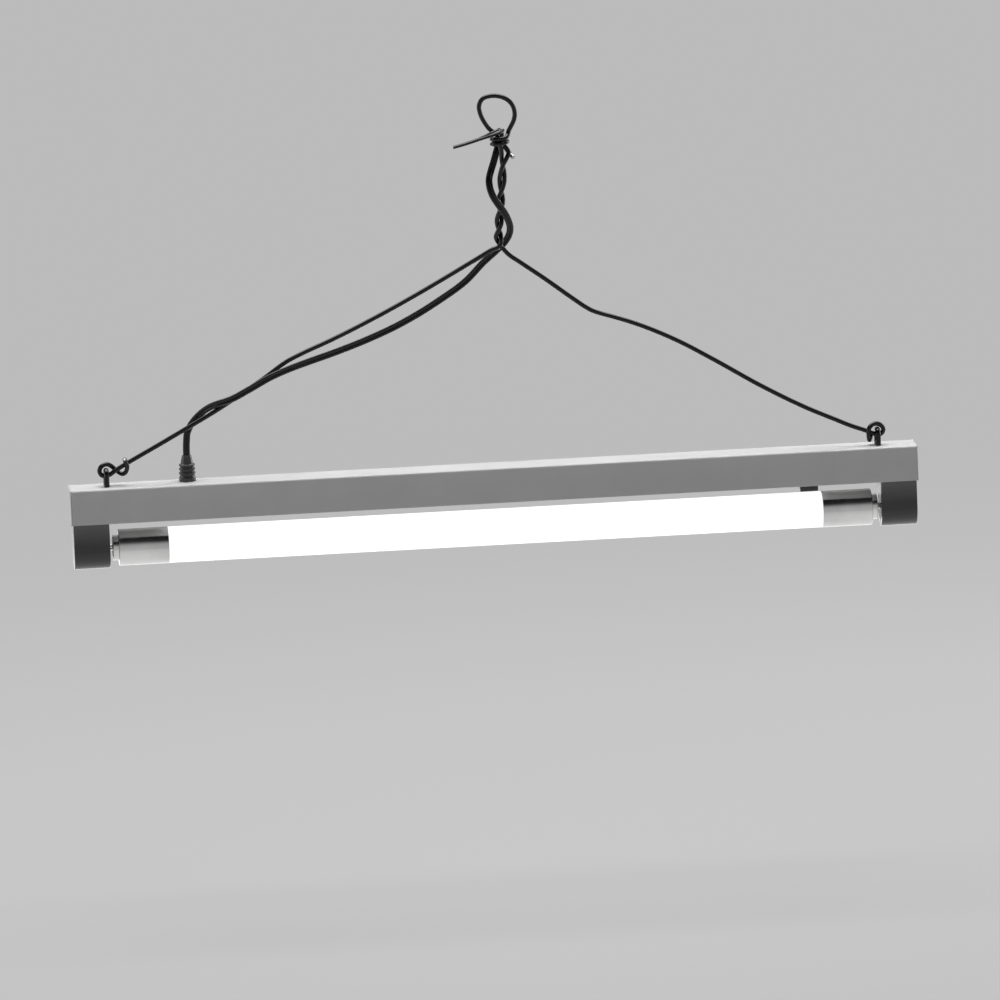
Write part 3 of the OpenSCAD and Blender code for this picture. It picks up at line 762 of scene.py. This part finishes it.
@dataclass
class Studio:
    """A pale floor, a pale surround and soft lamps above, behind and at both sides."""

    floor_z: float = -0.62
    floor_r: float = 14.0
    floor_matt: float = 0.22
    floor_share: float = 0.74
    floor_unseen: float = 0.48
    pale: float = 0.50
    fill: float = 0.10
    fade: Pair = (0.9, 2.2)
    behind: Pair = (-0.10, 0.35)
    lamps: tuple[Lamp, ...] = (
        Lamp("top_softbox", (0.0, 0.30, 1.9), 2.4, 1.6, 49.0),
        Lamp("left_softbox", (-2.3, 0.20, 0.20), 1.4, 1.6, 12.0),
        Lamp("right_softbox", (2.2, 1.10, 0.25), 1.2, 1.6, 24.0),
        Lamp("front_fill", (-0.6, -3.4, 0.7), 2.4, 1.6, 4.2, mirrored=False),
    )
    front_sky: tuple[Pair, ...] = (
        (-0.04, 0.50), (0.26, 0.44), (0.38, 0.34), (0.50, 0.14), (0.61, 0.02), (0.97, 0.01), (1.0, 3.0))
    back_sky: tuple[Pair, ...] = ((-0.04, 0.28), (0.40, 0.30), (0.64, 1.4), (0.87, 4.5), (1.0, 5.0))
    floor_shine: tuple[Pair, ...] = (
        (-1.2, 0.46), (-0.5, 0.51), (-0.1, 0.58), (0.10, 0.68), (0.50, 0.9), (0.8, 2.6), (2.2, 2.6),
        (3.0, 0.4))

    def levels(self, graph: Graph, place: Socket, stops: Sequence[Pair]) -> Socket:
        """How bright a surround is in reflections, along one direction.

        Args:
            graph: the node tree it is made in.
            place: where on the surround a point is.
            stops: rows of a place, in rising order, and the brightness there.

        Returns:
            The brightness.
        """
        first, last = stops[0][0], stops[-1][0]
        top = max(level for _, level in stops)
        rows = [((at - first) / (last - first), grey(level / top)) for at, level in stops]
        along = graph.between(place, 0.0, 1.0, first, last)
        return graph.calc("MULTIPLY", graph.ramp(along, rows), top)

    def floor_surface(self, graph: Graph) -> Socket:
        """The floor's shader.

        It is pale where it is seen and fades into the surround far away; in reflections it is
        brighter behind the object. Light that isn't seen directly meets a plain matt floor, and
        from below the floor is clear.

        Args:
            graph: the floor's node tree.

        Returns:
            The shader.
        """
        place = graph.node("TexCoord").outputs["Object"]
        rays = graph.node("LightPath").outputs
        shine = self.levels(graph, graph.part(place, "Y"), self.floor_shine)
        strength = graph.mix(rays["Is Glossy Ray"], self.pale * self.floor_share, shine)
        glow = graph.node("Emission", {"Color": WHITE, "Strength": strength}).outputs[0]
        matt, plain = (
            graph.node("BsdfDiffuse", {"Color": (*grey(level), 1)}).outputs[0]
            for level in (self.floor_matt, self.floor_unseen)
        )
        near = graph.node("AddShader", {0: matt, 1: glow}).outputs[0]
        haze = graph.node("Emission", {"Color": WHITE, "Strength": self.pale}).outputs[0]
        away = graph.node("VectorMath", {0: place}, operation="LENGTH").outputs["Value"]
        far = graph.between(away, 0.0, 1.0, *self.fade, interpolation_type="SMOOTHSTEP")
        direct = graph.calc("MAXIMUM", rays["Is Camera Ray"], rays["Is Glossy Ray"])
        seen = graph.calc("MAXIMUM", direct, rays["Is Transmission Ray"])
        above = graph.blend(seen, plain, graph.blend(far, near, haze))
        clear = graph.node("BsdfTransparent").outputs[0]
        return graph.blend(graph.node("NewGeometry").outputs["Backfacing"], above, clear)

    def floor(self) -> None:
        """Makes the pale floor."""
        shape = bmesh.new()
        bmesh.ops.create_circle(
            shape, cap_ends=True, segments=96, radius=self.floor_r,
            matrix=Matrix.Translation((0, 0, self.floor_z)),
        )
        floor = placed("floor", written(shape))
        material = bpy.data.materials.new("pale_floor")
        material.use_nodes = True
        graph = Graph(material.node_tree)
        graph.node("OutputMaterial", {"Surface": self.floor_surface(graph)})
        floor.data.materials.append(material)

    def surround(self) -> None:
        """Makes the world: pale where it is seen, a weak fill, bright at the back in reflections."""
        world = bpy.data.worlds.new("studio_surround")
        world.use_nodes = True
        graph = Graph(world.node_tree)
        place = graph.node("TexCoord").outputs["Generated"]
        rays = graph.node("LightPath").outputs
        skies = [self.levels(graph, graph.part(place, "Z"), sky) for sky in (self.front_sky, self.back_sky)]
        around = graph.mix(graph.between(graph.part(place, "Y"), 0.0, 1.0, *self.behind), *skies)
        lit = graph.mix(rays["Is Glossy Ray"], self.fill, around)
        seen = graph.calc("MAXIMUM", rays["Is Camera Ray"], rays["Is Transmission Ray"])
        inputs = {"Color": WHITE, "Strength": graph.mix(seen, lit, self.pale)}
        graph.node("OutputWorld", {"Surface": graph.node("Background", inputs).outputs[0]})
        bpy.context.scene.world = world

    def build(self) -> None:
        """Makes the floor, the surround and the lamps."""
        self.floor()
        self.surround()
        for lamp in self.lamps:
            lamp.build()
        bpy.context.scene.view_settings.view_transform = "Standard"


# ---------------------------------------------------------------- the object


@dataclass
class SubAssembly:
    """A group of pieces, made or dressed from the CAD nodes, that reports what it makes."""

    nodes: dict[str, Piece]
    made: list[str] = field(default_factory=list, init=False)

    def add(self, piece: Piece, body: str, slot: str, *nodes: str) -> None:
        """Lets a piece ride on its body and stand for its nodes.

        Args:
            piece: the piece.
            body: the body it rides on.
            slot: the record's slot; not used.
            nodes: the CAD nodes it stands for.
        """
        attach(piece, body)
        if nodes:
            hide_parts(*nodes)
        self.made.append(piece.name)
        log.info("made %s on %s", piece.name, body)

    def dress(self, **finishes: Finish) -> None:
        """Gives CAD nodes whose shape is right their finish.

        Args:
            finishes: the finish of each node that is dressed.
        """
        for name, finish in finishes.items():
            for slot in self.nodes[name].material_slots:
                slot.material = finish.material()
            log.info("dressed %s in %s", name, finish.name)

    def build(self) -> None:
        """Makes and dresses the pieces; each sub-assembly has its own."""
        raise NotImplementedError


@dataclass
class Hanger(SubAssembly):
    """The two coated wires: hitch round the eyelet, leg, twist, and the left one's loop and collar."""

    wire_r: float = 1.8
    strand_r: float = 1.9
    strand_steps: int = 22
    strand_step: float = 0.25
    collar_r: float = 5.8
    collar_x: float = 14.5
    collar_top: float = 254.3
    collar_pitch: float = 3.75
    collar_turn: int = 630
    collar_step: int = 45
    core_r: float = 0.95
    core_out: float = 0.25
    bare_r: float = 1.72
    bare_end: float = 3.4
    gap: float = 1.3
    crossings: tuple[Pair, ...] = (
        (0, 170.8), (1, 183), (2, 197.5), (3, 212.5), (4, 232.6), (5, 251.5), (6, 263))
    axis: tuple[Pair, ...] = (
        (170.8, 11.8), (176.5, 10.7), (184, 11.4), (190, 12), (205, 13.5), (220, 15.2), (233, 16.3),
        (238, 17.6), (243, 18.5), (246.5, 16.8), (249, 14.9), (252, 14.5), (258, 14.5))
    opening: tuple[Pair, ...] = ((232, 1), (238, 1.25), (243, 1.48), (247, 1.1), (250, 1))
    hitch_left: tuple[Point, ...] = (
        (14.3, -6.2, 21.2), (14.6, -5.1, 20), (15.4, -4.3, 17.8), (16.2, -3.4, 14.5), (15.2, -1.2, 10.6),
        (12.6, 1.6, 8.5), (9.7, 3.6, 9.8), (7.3, 4.1, 12), (4.2, 3.3, 15), (0, 1.5, 16.7),
        (-3.8, 0.4, 15), (-5, 0, 11.5), (-3.6, 0, 8.8), (0, 0, 7.9), (3.4, 0, 9.2),
        (7, 0, 11.6), (10.8, 0, 13.9))
    hitch_right: tuple[Point, ...] = (
        (4.5, 4.1, 8.2), (5.1, 3.4, 5.4), (6.1, 0.4, 4), (6.9, -2.9, 5.4), (7.3, -4.1, 9),
        (7.2, -4.1, 12.4), (5.4, -3.2, 15.4), (1.5, -1.4, 16.8), (-2.6, -0.4, 15.4),
        (-4.8, 0, 11.6), (-3.4, 0, 8.8), (0, 0, 7.9), (3.4, 0, 9.1), (9, 0, 11.5))
    leg_left: tuple[Point, ...] = (
        (-279, 0, 18), (-259, 0, 28.4), (-239, 0, 39), (-208.2, 0, 55.6), (-175, 0, 76),
        (-152.8, 0, 90.5), (-144.5, 0, 94.3), (-119.7, 0, 104.4), (-89.9, 0, 117.8), (-60.1, 0, 132.4),
        (-32, 0, 147.1), (-4.2, -0.6, 162.3), (5.3, -1.4, 167.6))
    leg_right: tuple[Point, ...] = (
        (275.8, 0, 16.4), (265.7, 0, 21.1), (245.6, 0, 30.5), (207.8, 0, 51.3), (173.9, 0, 72.5),
        (145.7, 0, 89.2), (130.7, 0, 96.8), (112.7, 0, 104.7), (95.8, 0, 110.8), (86.9, 0, 113.7),
        (80.4, 0, 116.3), (74.6, 0, 119.9), (68.1, 0, 124.8), (44.3, 0, 143.4), (26.4, 0.4, 156.7),
        (18, 1.2, 163))
    loop: tuple[Point, ...] = (
        (12.3, 0.6, 256.6), (8.3, 0, 259.3), (3.8, 0, 265.3), (0.4, 0, 273.3), (-0.1, 0, 279.5),
        (2.8, 0, 284.2), (8, 0, 285.9), (13.8, 0, 285.8), (19.8, 0, 283.7), (24.8, 0, 279.1),
        (26.9, 0, 272.8), (26, 0, 266.6), (23.2, 0, 261.1), (21.5, -0.1, 258), (20.9, -1.1, 255.8))
    tail: tuple[Point, ...] = ((17.8, 6, 246), (20.4, 5.4, 242.8), (22.6, 3.4, 239.9), (24.5, 0.9, 237.7))

    def strand(self, turn: float) -> list[Point]:
        """One wire of the twist.

        Args:
            turn: 0 for the left wire and 180 for the right one.

        Returns:
            Its points.
        """
        points = []
        for k in range(self.strand_steps):
            crossing = self.strand_step * k
            z = lookup(crossing, self.crossings)
            angle = math.radians(-90 + 180 * crossing + turn)
            r = self.strand_r * lookup(z, self.opening)
            points.append((lookup(z, self.axis) + r * math.cos(angle), r * math.sin(angle), z))
        return points

    def collar(self) -> list[Point]:
        """The turns that the left wire takes round both wires below the loop."""
        points = []
        for turned in range(self.collar_step, self.collar_turn + 1, self.collar_step):
            angle = math.radians(-turned)
            x, y = self.collar_x + self.collar_r * math.cos(angle), self.collar_r * math.sin(angle)
            points.append((x, y, self.collar_top - self.collar_pitch * turned / 360))
        return points

    def left_route(self) -> list[Point]:
        """The left wire's whole route."""
        hitch = [(x - EYE_X, y, z) for x, y, z in self.hitch_left]
        return [*hitch, *self.leg_left, *self.strand(0), *self.loop, *self.collar(), *self.tail]

    def right_route(self) -> list[Point]:
        """The right wire's whole route."""
        hitch = [(EYE_X - x, y, z) for x, y, z in self.hitch_right]
        return [*hitch, *self.leg_right, *self.strand(180)]

    def build(self) -> None:
        """Makes both wires, the bright core at their cut ends and the bare end of the left one."""
        for side, route in ((Side.LEFT, self.left_route()), (Side.RIGHT, self.right_route())):
            line = smooth_line(route, self.gap)
            tip, out = line[0], (line[0] - line[1]).normalized()
            bright = [wire_mesh([tip - out, tip + out * self.core_out], self.core_r, 4)]
            if side is Side.LEFT:
                steps = round(self.bare_end / self.gap)
                bright.append(wire_mesh(line[-steps - 2:], self.bare_r, 8))
                line = line[:-steps]
            piece = finished(f"coated_wire_{side.word}", wire_mesh(line, self.wire_r), WIRE, 50)
            self.add(piece, "hanger", "wire_black", f"hanger_wire_{side.word}")
            steel = finished(f"cut_steel_{side.word}", merged(bright), CUT_STEEL)
            self.add(steel, "hanger", "zinc_steel")


@dataclass
class FlatCord(SubAssembly):
    """The flat two-core cord, from the gland along the left leg and over the loop to its cut end."""

    width: float = 5.4
    thick: float = 2.4
    gap: float = 1.6
    lobe_at: float = 1.42
    lobe_deg: float = 154
    around: int = 32
    core_at: float = 1.4
    core_r: float = 0.5
    core_out: float = 0.1
    blend_z: Pair = (58, 21)
    route: tuple[Point, ...] = (
        (-234.8, 4.5, 20), (-234.8, 4.5, 22), (-234.7, 4.9, 26), (-234.3, 5.8, 31), (-233.5, 6.6, 36.5),
        (-230.9, 7, 42), (-226.6, 6.4, 47.6), (-221, 4.2, 53), (-215, 0.8, 57.2), (-208.5, -2.6, 60),
        (-200, -3.6, 62.6),
        (-184.5, -3.6, 70), (-169, -3.6, 78), (-153, -3.3, 84.2), (-137.5, -2, 88.8), (-116.5, -1, 95),
        (-95.5, 0, 102), (-70, 0, 112.3), (-36, 1, 130.4), (-15, 3, 144), (-0.5, 5, 157.6),
        (9.8, 5.7, 166), (16, 5.2, 172), (19.2, 3, 177.6), (20, -0.2, 183.6), (18.4, -3.4, 190.4),
        (15, -5.5, 197.4), (10.4, -5.7, 204), (7, -4.8, 210.2), (5.4, -2.4, 216), (5.4, 1, 221.4),
        (7.2, 4.4, 227), (9.7, 6.6, 233.4), (12.1, 8.6, 240.2), (13.8, 10, 245), (15.1, 10.5, 249.2),
        (16, 10, 253), (16.5, 8.4, 256.3), (16.5, 5.4, 258.5), (16.1, 1.8, 259.3), (14.9, -1.8, 259.2),
        (12.3, -4.6, 258.6), (8.6, -6.1, 257.5), (3.4, -6.2, 255.8), (-2.4, -5.8, 253.8), (-11.5, -4.8, 251),
        (-21.5, -4, 248.5))

    def broad_sides(self) -> list[Point]:
        """The direction of the cord's broad side at each point of its route."""
        return [
            *[(1, 0, 0)] * 5,
            (0.9, 0, -0.4), (0.75, 0, -0.65), (0.6, 0, -0.8), (0.5, 0, -0.85), (0.45, 0, -0.9),
            *[(0.4, 0, -1)] * 11,
            (0.5, 0, -0.8), (0.8, 0, -0.5), (1, 0, -0.4),
            *[(1, 0, 0)] * 13,
            (1, 0, -0.1), (1, 0, -0.2), (1, -0.1, -0.3), (0.9, -0.35, -0.35), (0.6, -0.65, -0.45),
            (0.25, -0.85, -0.45), (0.05, -0.97, -0.25),
            *[(0, -1, 0)] * 3,
        ]

    def profile(self) -> list[Pair]:
        """The outline of the jacket: two round cores side by side, joined by a thin web."""
        half = self.around // 2
        lobe = []
        for k in range(half):
            angle = math.radians(self.lobe_deg * (2 * k / (half - 1) - 1))
            across = self.lobe_at + (self.width / 2 - self.lobe_at) * math.cos(angle)
            lobe.append((across, self.thick / 2 * math.sin(angle)))
        return [*lobe, *((-x, -y) for x, y in lobe)]

    def sides_along(self) -> list[Vector]:
        """The direction of the broad side at every point of the smooth line."""
        broad = [Vector(side) for side in self.broad_sides()]
        sides = []
        for i, (a, b) in enumerate(zip(self.route, self.route[1:])):
            steps = steps_between(Vector(a), Vector(b), self.gap)
            sides += [broad[i].lerp(broad[i + 1], k / steps) for k in range(steps)]
        return [*sides, broad[-1]]

    def jacket(self, line: Sequence[Vector], sides: Sequence[Vector]) -> Mesh:
        """The jacket, swept along the line with its broad side turning.

        Args:
            line: the centreline in millimetres from the bar's top.
            sides: the direction of the broad side at each point of the line.

        Returns:
            The mesh, in place.
        """
        outline, n, last = self.profile(), self.around, len(line) - 1
        verts: list[Vector] = []
        for i, (spot, side) in enumerate(zip(line, sides)):
            ahead = (line[min(i + 1, last)] - line[max(i - 1, 0)]).normalized()
            a = (side - ahead * side.dot(ahead)).normalized()
            b = ahead.cross(a)
            verts += [hung(spot + a * u + b * v) for u, v in outline]
        faces = [
            (i * n + k, i * n + (k + 1) % n, (i + 1) * n + (k + 1) % n, (i + 1) * n + k)
            for i in range(last) for k in range(n)
        ]
        faces += [tuple(reversed(range(n))), tuple(last * n + k for k in range(n))]
        mesh = bpy.data.meshes.new("jacket")
        mesh.from_pydata(verts, [], faces)
        return mesh

    def build(self) -> None:
        """Makes the cord and the two bright cores at its cut end."""
        line, sides = smooth_line(self.route, self.gap), self.sides_along()
        piece = finished("flat_cord", self.jacket(line, sides), JACKET, 50)
        tip, out = line[-1], (line[-1] - line[-2]).normalized()
        side = (sides[-1] - out * sides[-1].dot(out)).normalized()
        cores = [
            wire_mesh([tip + side * at - out, tip + side * at + out * self.core_out], self.core_r, 4)
            for at in (-self.core_at, self.core_at)
        ]
        core = finished("cord_core_ends", merged(cores), TINNED)
        self.add(core, "hanger", "contact_brass")
        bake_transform(piece)
        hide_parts("power_cord")
        log.info("made flat_cord, %.0f mm long", length_of(line))


@dataclass
class Bar(SubAssembly):
    """The sheet-metal channel, its end plates, its bottom cover and what is fastened to them."""

    length: float = 652.6
    depth: float = 30.0
    sheet: float = 1.0
    bend: float = 1.4
    lower_edge: float = 0.4
    plate_edge: float = 0.35
    tab_l: float = 12.0
    tab_z: Pair = (-24.0, -4.0)
    tab_edge: float = 0.2

    def channel(self) -> Mesh:
        """The upside-down U with rounded bends."""
        x, y = self.length / 2 - self.sheet, self.depth / 2
        shape = box_shape((-x, -y, -BAR_H), (x, y, 0))
        top_z, floor_z = hung((0, 0, 0)).z, hung((0, 0, -BAR_H)).z
        under = [
            f for f in shape.faces
            if abs(f.normal.x) > 0.9 or all(level_at(e, floor_z) for e in f.edges)
        ]
        bmesh.ops.delete(shape, geom=under, context="FACES")
        bends = [e for e in shape.edges if level_at(e, top_z) and runs_along(e)]
        bevelled(shape, bends, self.bend, 5)
        bmesh.ops.recalc_face_normals(shape, faces=shape.faces)
        middle = hung((0, 0, -BAR_H / 2))
        for face in shape.faces:
            if face.normal.dot(face.calc_center_median() - middle) < 0:
                face.normal_flip()
        bmesh.ops.solidify(shape, geom=shape.faces[:], thickness=self.sheet / 1000)
        outside = (y - 1e-3) / 1000
        low = [
            e for e in shape.edges
            if level_at(e, floor_z) and runs_along(e) and all(abs(v.co.y) > outside for v in e.verts)
        ]
        bevelled(shape, low, self.lower_edge, 3)
        return as_mesh(shape)

    def end_plate(self, side: Side) -> Mesh:
        """One end plate with its two tabs.

        Args:
            side: the end it closes.

        Returns:
            Its mesh.
        """
        s, y = side.value, self.depth / 2
        places = (self.length / 2, self.length / 2 - self.sheet, self.length / 2 - self.sheet - self.tab_l)
        outer, inner, tip = (s * x for x in places)
        low, high = sorted((inner, outer))
        shapes = [box_shape((low, -y, -BAR_H), (high, y, 0), self.plate_edge, 3)]
        low, high = sorted((tip, inner))
        for a in (-y + self.sheet, y - 2 * self.sheet):
            corners = ((low, a, self.tab_z[0]), (high, a + self.sheet, self.tab_z[1]))
            shapes.append(box_shape(*corners, self.tab_edge, 2))
        return merged(as_mesh(shape) for shape in shapes)

    def build(self) -> None:
        """Makes the sheet pieces and dresses the rest."""
        self.add(finished("sheet_channel", self.channel(), ENAMEL), "fixture", "sheet_white", "channel")
        for side in Side:
            piece = finished(f"end_sheet_{side.word}", self.end_plate(side), ENAMEL)
            self.add(piece, "fixture", "sheet_white", f"end_plate_{side.word}")
        self.dress(
            bottom_cover=ENAMEL, cover_brackets=ZINC, cover_screws=ZINC, eyelet_left=EYELET,
            eyelet_right=EYELET, eyelet_nuts=ZINC, holder_screws=ZINC,
        )


@dataclass
class Gland(SubAssembly):
    """The ribbed strain relief of the cord, with its locknut and the cord's tail inside the channel."""

    x: float = -234.88
    y: float = 4.5
    top: float = 20.0
    slot_w: float = 5.6
    slot_t: float = 2.6
    slot_low: float = -8.0
    slot_edge: float = 1.25

    def body(self) -> Mesh:
        """The turned body with its ribs, cut open for the flat cord."""
        outline = rounded([
            (-7, 0.0, 0), (-7, 4.05, 0.3), (0, 4.05, 0), (0.02, 6.4, 0.25), (2.9, 6.4, 0.8), (4.3, 5.7, 0.3),
            (4.9, 5.7, 0.3), (5.3, 6.35, 0.35), (6.9, 6.35, 0.35), (7.3, 5.4, 0.25), (8.1, 5.4, 0.25),
            (8.5, 6.25, 0.35), (10.1, 6.25, 0.35), (10.5, 5.3, 0.25), (11.3, 5.3, 0.25), (11.7, 6.15, 0.35),
            (13.1, 6.15, 0.35), (13.5, 4.85, 0.3), (self.top, 3.55, 0.5), (self.top, 0.0, 0),
        ], 4)
        solid = as_mesh(spun_shape(outline, (self.x, self.y, 0), (0, 0, 1), 72))
        w, t = self.slot_w / 2, self.slot_t / 2
        low, high = (self.x - w, self.y - t, self.slot_low), (self.x + w, self.y + t, self.top + 1)
        return carved(solid, box_shape(low, high, self.slot_edge, 4))

    def build(self) -> None:
        """Makes the gland and dresses its locknut and the cord's tail."""
        self.add(finished("ribbed_gland", self.body(), GLAND, 40), "fixture", "gland_black", "cord_gland")
        self.dress(gland_locknut=GLAND, cord_tail=JACKET)


@dataclass
class Lampholder(SubAssembly):
    """One lampholder: a housing with a round foot, its bore with a pin slot, contacts and rotor."""

    side: Side = Side.LEFT
    inner_x: float = 297.3
    length: float = 27.6
    radius: float = 14.8
    drop: float = 0.5
    edge: float = 0.7
    bore_r: float = 9.95
    bore_depth: float = 6.8
    slot_w: float = 2.85
    clear: float = 2.0

    def housing(self) -> Mesh:
        """The housing with rounded edges, cut open for rotor, pins and contacts."""
        s, foot_z = self.side.value, TUBE_Z - self.drop
        face_x = s * self.inner_x
        shape = bmesh.new()
        start = shape.verts.new(hung((face_x, -self.radius, foot_z)))
        bmesh.ops.spin(
            shape, geom=[start], cent=hung((face_x, 0, foot_z)), axis=(1, 0, 0), dvec=(0, 0, 0),
            angle=math.pi, steps=48, use_merge=False, use_duplicate=False,
        )
        shape.verts.ensure_lookup_table()
        ends = sorted((v for v in shape.verts if len(v.link_edges) == 1), key=lambda v: v.co.y)
        tops = [shape.verts.new(hung((face_x, y, -BAR_H))) for y in (-self.radius, self.radius)]
        for pair in ((ends[0], tops[0]), (tops[0], tops[1]), (tops[1], ends[1])):
            shape.edges.new(pair)
        face = bmesh.ops.contextual_create(shape, geom=shape.edges[:])["faces"]
        grown = bmesh.ops.extrude_face_region(shape, geom=face)["geom"]
        moved = [g for g in grown if isinstance(g, bmesh.types.BMVert)]
        bmesh.ops.translate(shape, verts=moved, vec=(s * self.length / 1000, 0, 0))
        top_z = hung((0, 0, -BAR_H)).z
        rims = [
            e for e in shape.edges
            if abs(e.verts[0].co.x - e.verts[1].co.x) < 1e-7 and not level_at(e, top_z)
        ]
        bmesh.ops.recalc_face_normals(shape, faces=shape.faces)
        bevelled(shape, rims, self.edge, 3)
        mouth, reach = s * (self.inner_x - self.clear), s * (self.inner_x + self.bore_depth)
        bore = rod_shape((mouth, 0, TUBE_Z), (reach, 0, TUBE_Z), self.bore_r, 72)
        near, far = sorted((mouth, reach))
        low = (near, -self.slot_w / 2, foot_z - self.radius - self.clear)
        return carved(as_mesh(shape), bore, box_shape(low, (far, self.slot_w / 2, TUBE_Z)))

    def build(self) -> None:
        """Makes the housing and dresses the contacts and the rotor."""
        word = self.side.word
        piece = finished(f"holder_housing_{word}", self.housing(), HOLDER_PAINTED_LIGHT)
        self.add(piece, "fixture", "holder_grey", f"lampholder_{word}")
        self.dress(**{f"holder_contacts_{word}": BRASS, f"rotor_{word}": ROTOR})


@dataclass
class Wiring(SubAssembly):
    """What is inside the channel, and the switch under it."""

    switch_x: float = 243.0
    width: float = 14.0
    drop: float = 6.4
    front: float = -1.5
    back: float = 14.0
    edge: float = 0.7
    knob_slot: Pair = (4.8, 1.7)
    slot_depth: float = 4.0
    spout_r: float = 1.5
    spout_y: float = 7.0
    spout_z: Pair = (-27.5, -25.5)

    def switch(self) -> Mesh:
        """The switch's case with rounded edges, its spout for the leads and the knob's slot."""
        x, low, half = self.switch_x, -BAR_H - self.drop, self.width / 2
        case = box_shape((x - half, self.front, low), (x + half, self.back, -BAR_H), self.edge, 4)
        spout = rod_shape(*((x, self.spout_y, z) for z in self.spout_z), self.spout_r, 32)
        w, h = self.knob_slot
        z, deep = low + self.drop / 2, self.back - self.slot_depth
        slot = box_shape((x - w, deep, z - h), (x + w, self.back + 1, z + h))
        return merged([carved(as_mesh(case), slot), as_mesh(spout)])

    def build(self) -> None:
        """Makes the switch's case and dresses the inner wiring."""
        self.add(finished("switch_case", self.switch(), SWITCH), "fixture", "switch_black", "switch_body")
        self.dress(
            terminal_block=TERMINAL, terminal_screws=ZINC, neutral_wire=BLUE, live_wire=BROWN,
            switched_wire=BLACK, switch_screws=ZINC, switch_knob=KNOB,
        )


@dataclass
class Tube(SubAssembly):
    """The glowing tube: frosted glass, two turned caps, pins, and what is inside."""

    face_x: float = 294.9
    cap_l: float = 38.4
    cap_wall: float = 0.8
    boss_l: float = 4.5
    boss_r: float = 9.75
    hole_r: float = 8.3
    radius: float = 14.0
    glass_r: float = 13.9
    neck_r: float = 13.1
    neck_l: float = 8.0
    wall: float = 1.1
    joint: float = 0.05

    def glass(self) -> Mesh:
        """The glass with its rounded shoulders and necks."""
        x = self.face_x - self.boss_l - self.cap_l - self.joint
        end, inner = x + self.neck_l, self.neck_r - self.wall
        outline = rounded([
            (-end, inner, 0), (-end, self.neck_r, 0.3), (-x, self.neck_r, 0), (-x, self.glass_r, 0.45),
            (x, self.glass_r, 0.45), (x, self.neck_r, 0), (end, self.neck_r, 0.3), (end, inner, 0),
        ])
        return as_mesh(spun_shape(outline, (0, 0, TUBE_Z), (1, 0, 0)))

    def cap(self, side: Side) -> Mesh:
        """One cap with its boss, a rolled rim and a thin wall.

        Args:
            side: the end it closes.

        Returns:
            Its mesh.
        """
        face, x1 = self.face_x, self.face_x - self.boss_l
        x0, inner, bore = x1 - self.cap_l, self.radius - self.cap_wall, self.boss_r - 1
        outline = rounded([
            (x0, inner, 0.15), (x0, self.radius, 0.45), (x1, self.radius, 0.9), (x1, self.boss_r, 0.25),
            (face, self.boss_r, 0.45), (face, self.hole_r, 0), (face - 1, self.hole_r, 0),
            (face - 1, bore, 0), (x1 - 1, bore, 0), (x1 - 1, inner, 0),
        ])
        return as_mesh(spun_shape(outline, (0, 0, TUBE_Z), (side.value, 0, 0)))

    def build(self) -> None:
        """Makes the glass and the caps, and dresses pins and inner parts."""
        self.add(finished("frosted_tube", self.glass(), GLOW), "tube", "tube_white", "tube_glass")
        for side in Side:
            piece = finished(f"tube_cap_{side.word}", self.cap(side), CAP_METAL)
            self.add(piece, "tube", "cap_metal", f"end_cap_{side.word}")
            self.dress(**{f"pin_insulator_{side.word}": INSULATOR, f"end_pins_{side.word}": PIN_METAL})
        self.dress(
            led_board=WHITE_BOARD, led_chips=CHIP, driver_board=GREEN_BOARD, driver_parts=PARTS,
            pin_leads=RED,
        )


def main() -> None:
    """Builds the camera, the cord, every sub-assembly and the studio, and reports each piece."""
    logging.basicConfig(level=logging.INFO, format="%(message)s")
    for leftover in list(bpy.data.objects):
        bpy.data.objects.remove(leftover)
    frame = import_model()
    nodes = frame["nodes"]
    PhotoCamera().build()
    assemblies: list[SubAssembly] = [
        FlatCord(nodes), Hanger(nodes), Bar(nodes), Gland(nodes), Lampholder(nodes, Side.LEFT),
        Lampholder(nodes, Side.RIGHT), Wiring(nodes), Tube(nodes),
    ]
    for assembly in assemblies:
        assembly.build()
    Studio().build()
    log.info("%d new pieces", sum(len(assembly.made) for assembly in assemblies))


if __name__ == "__main__":
    main()
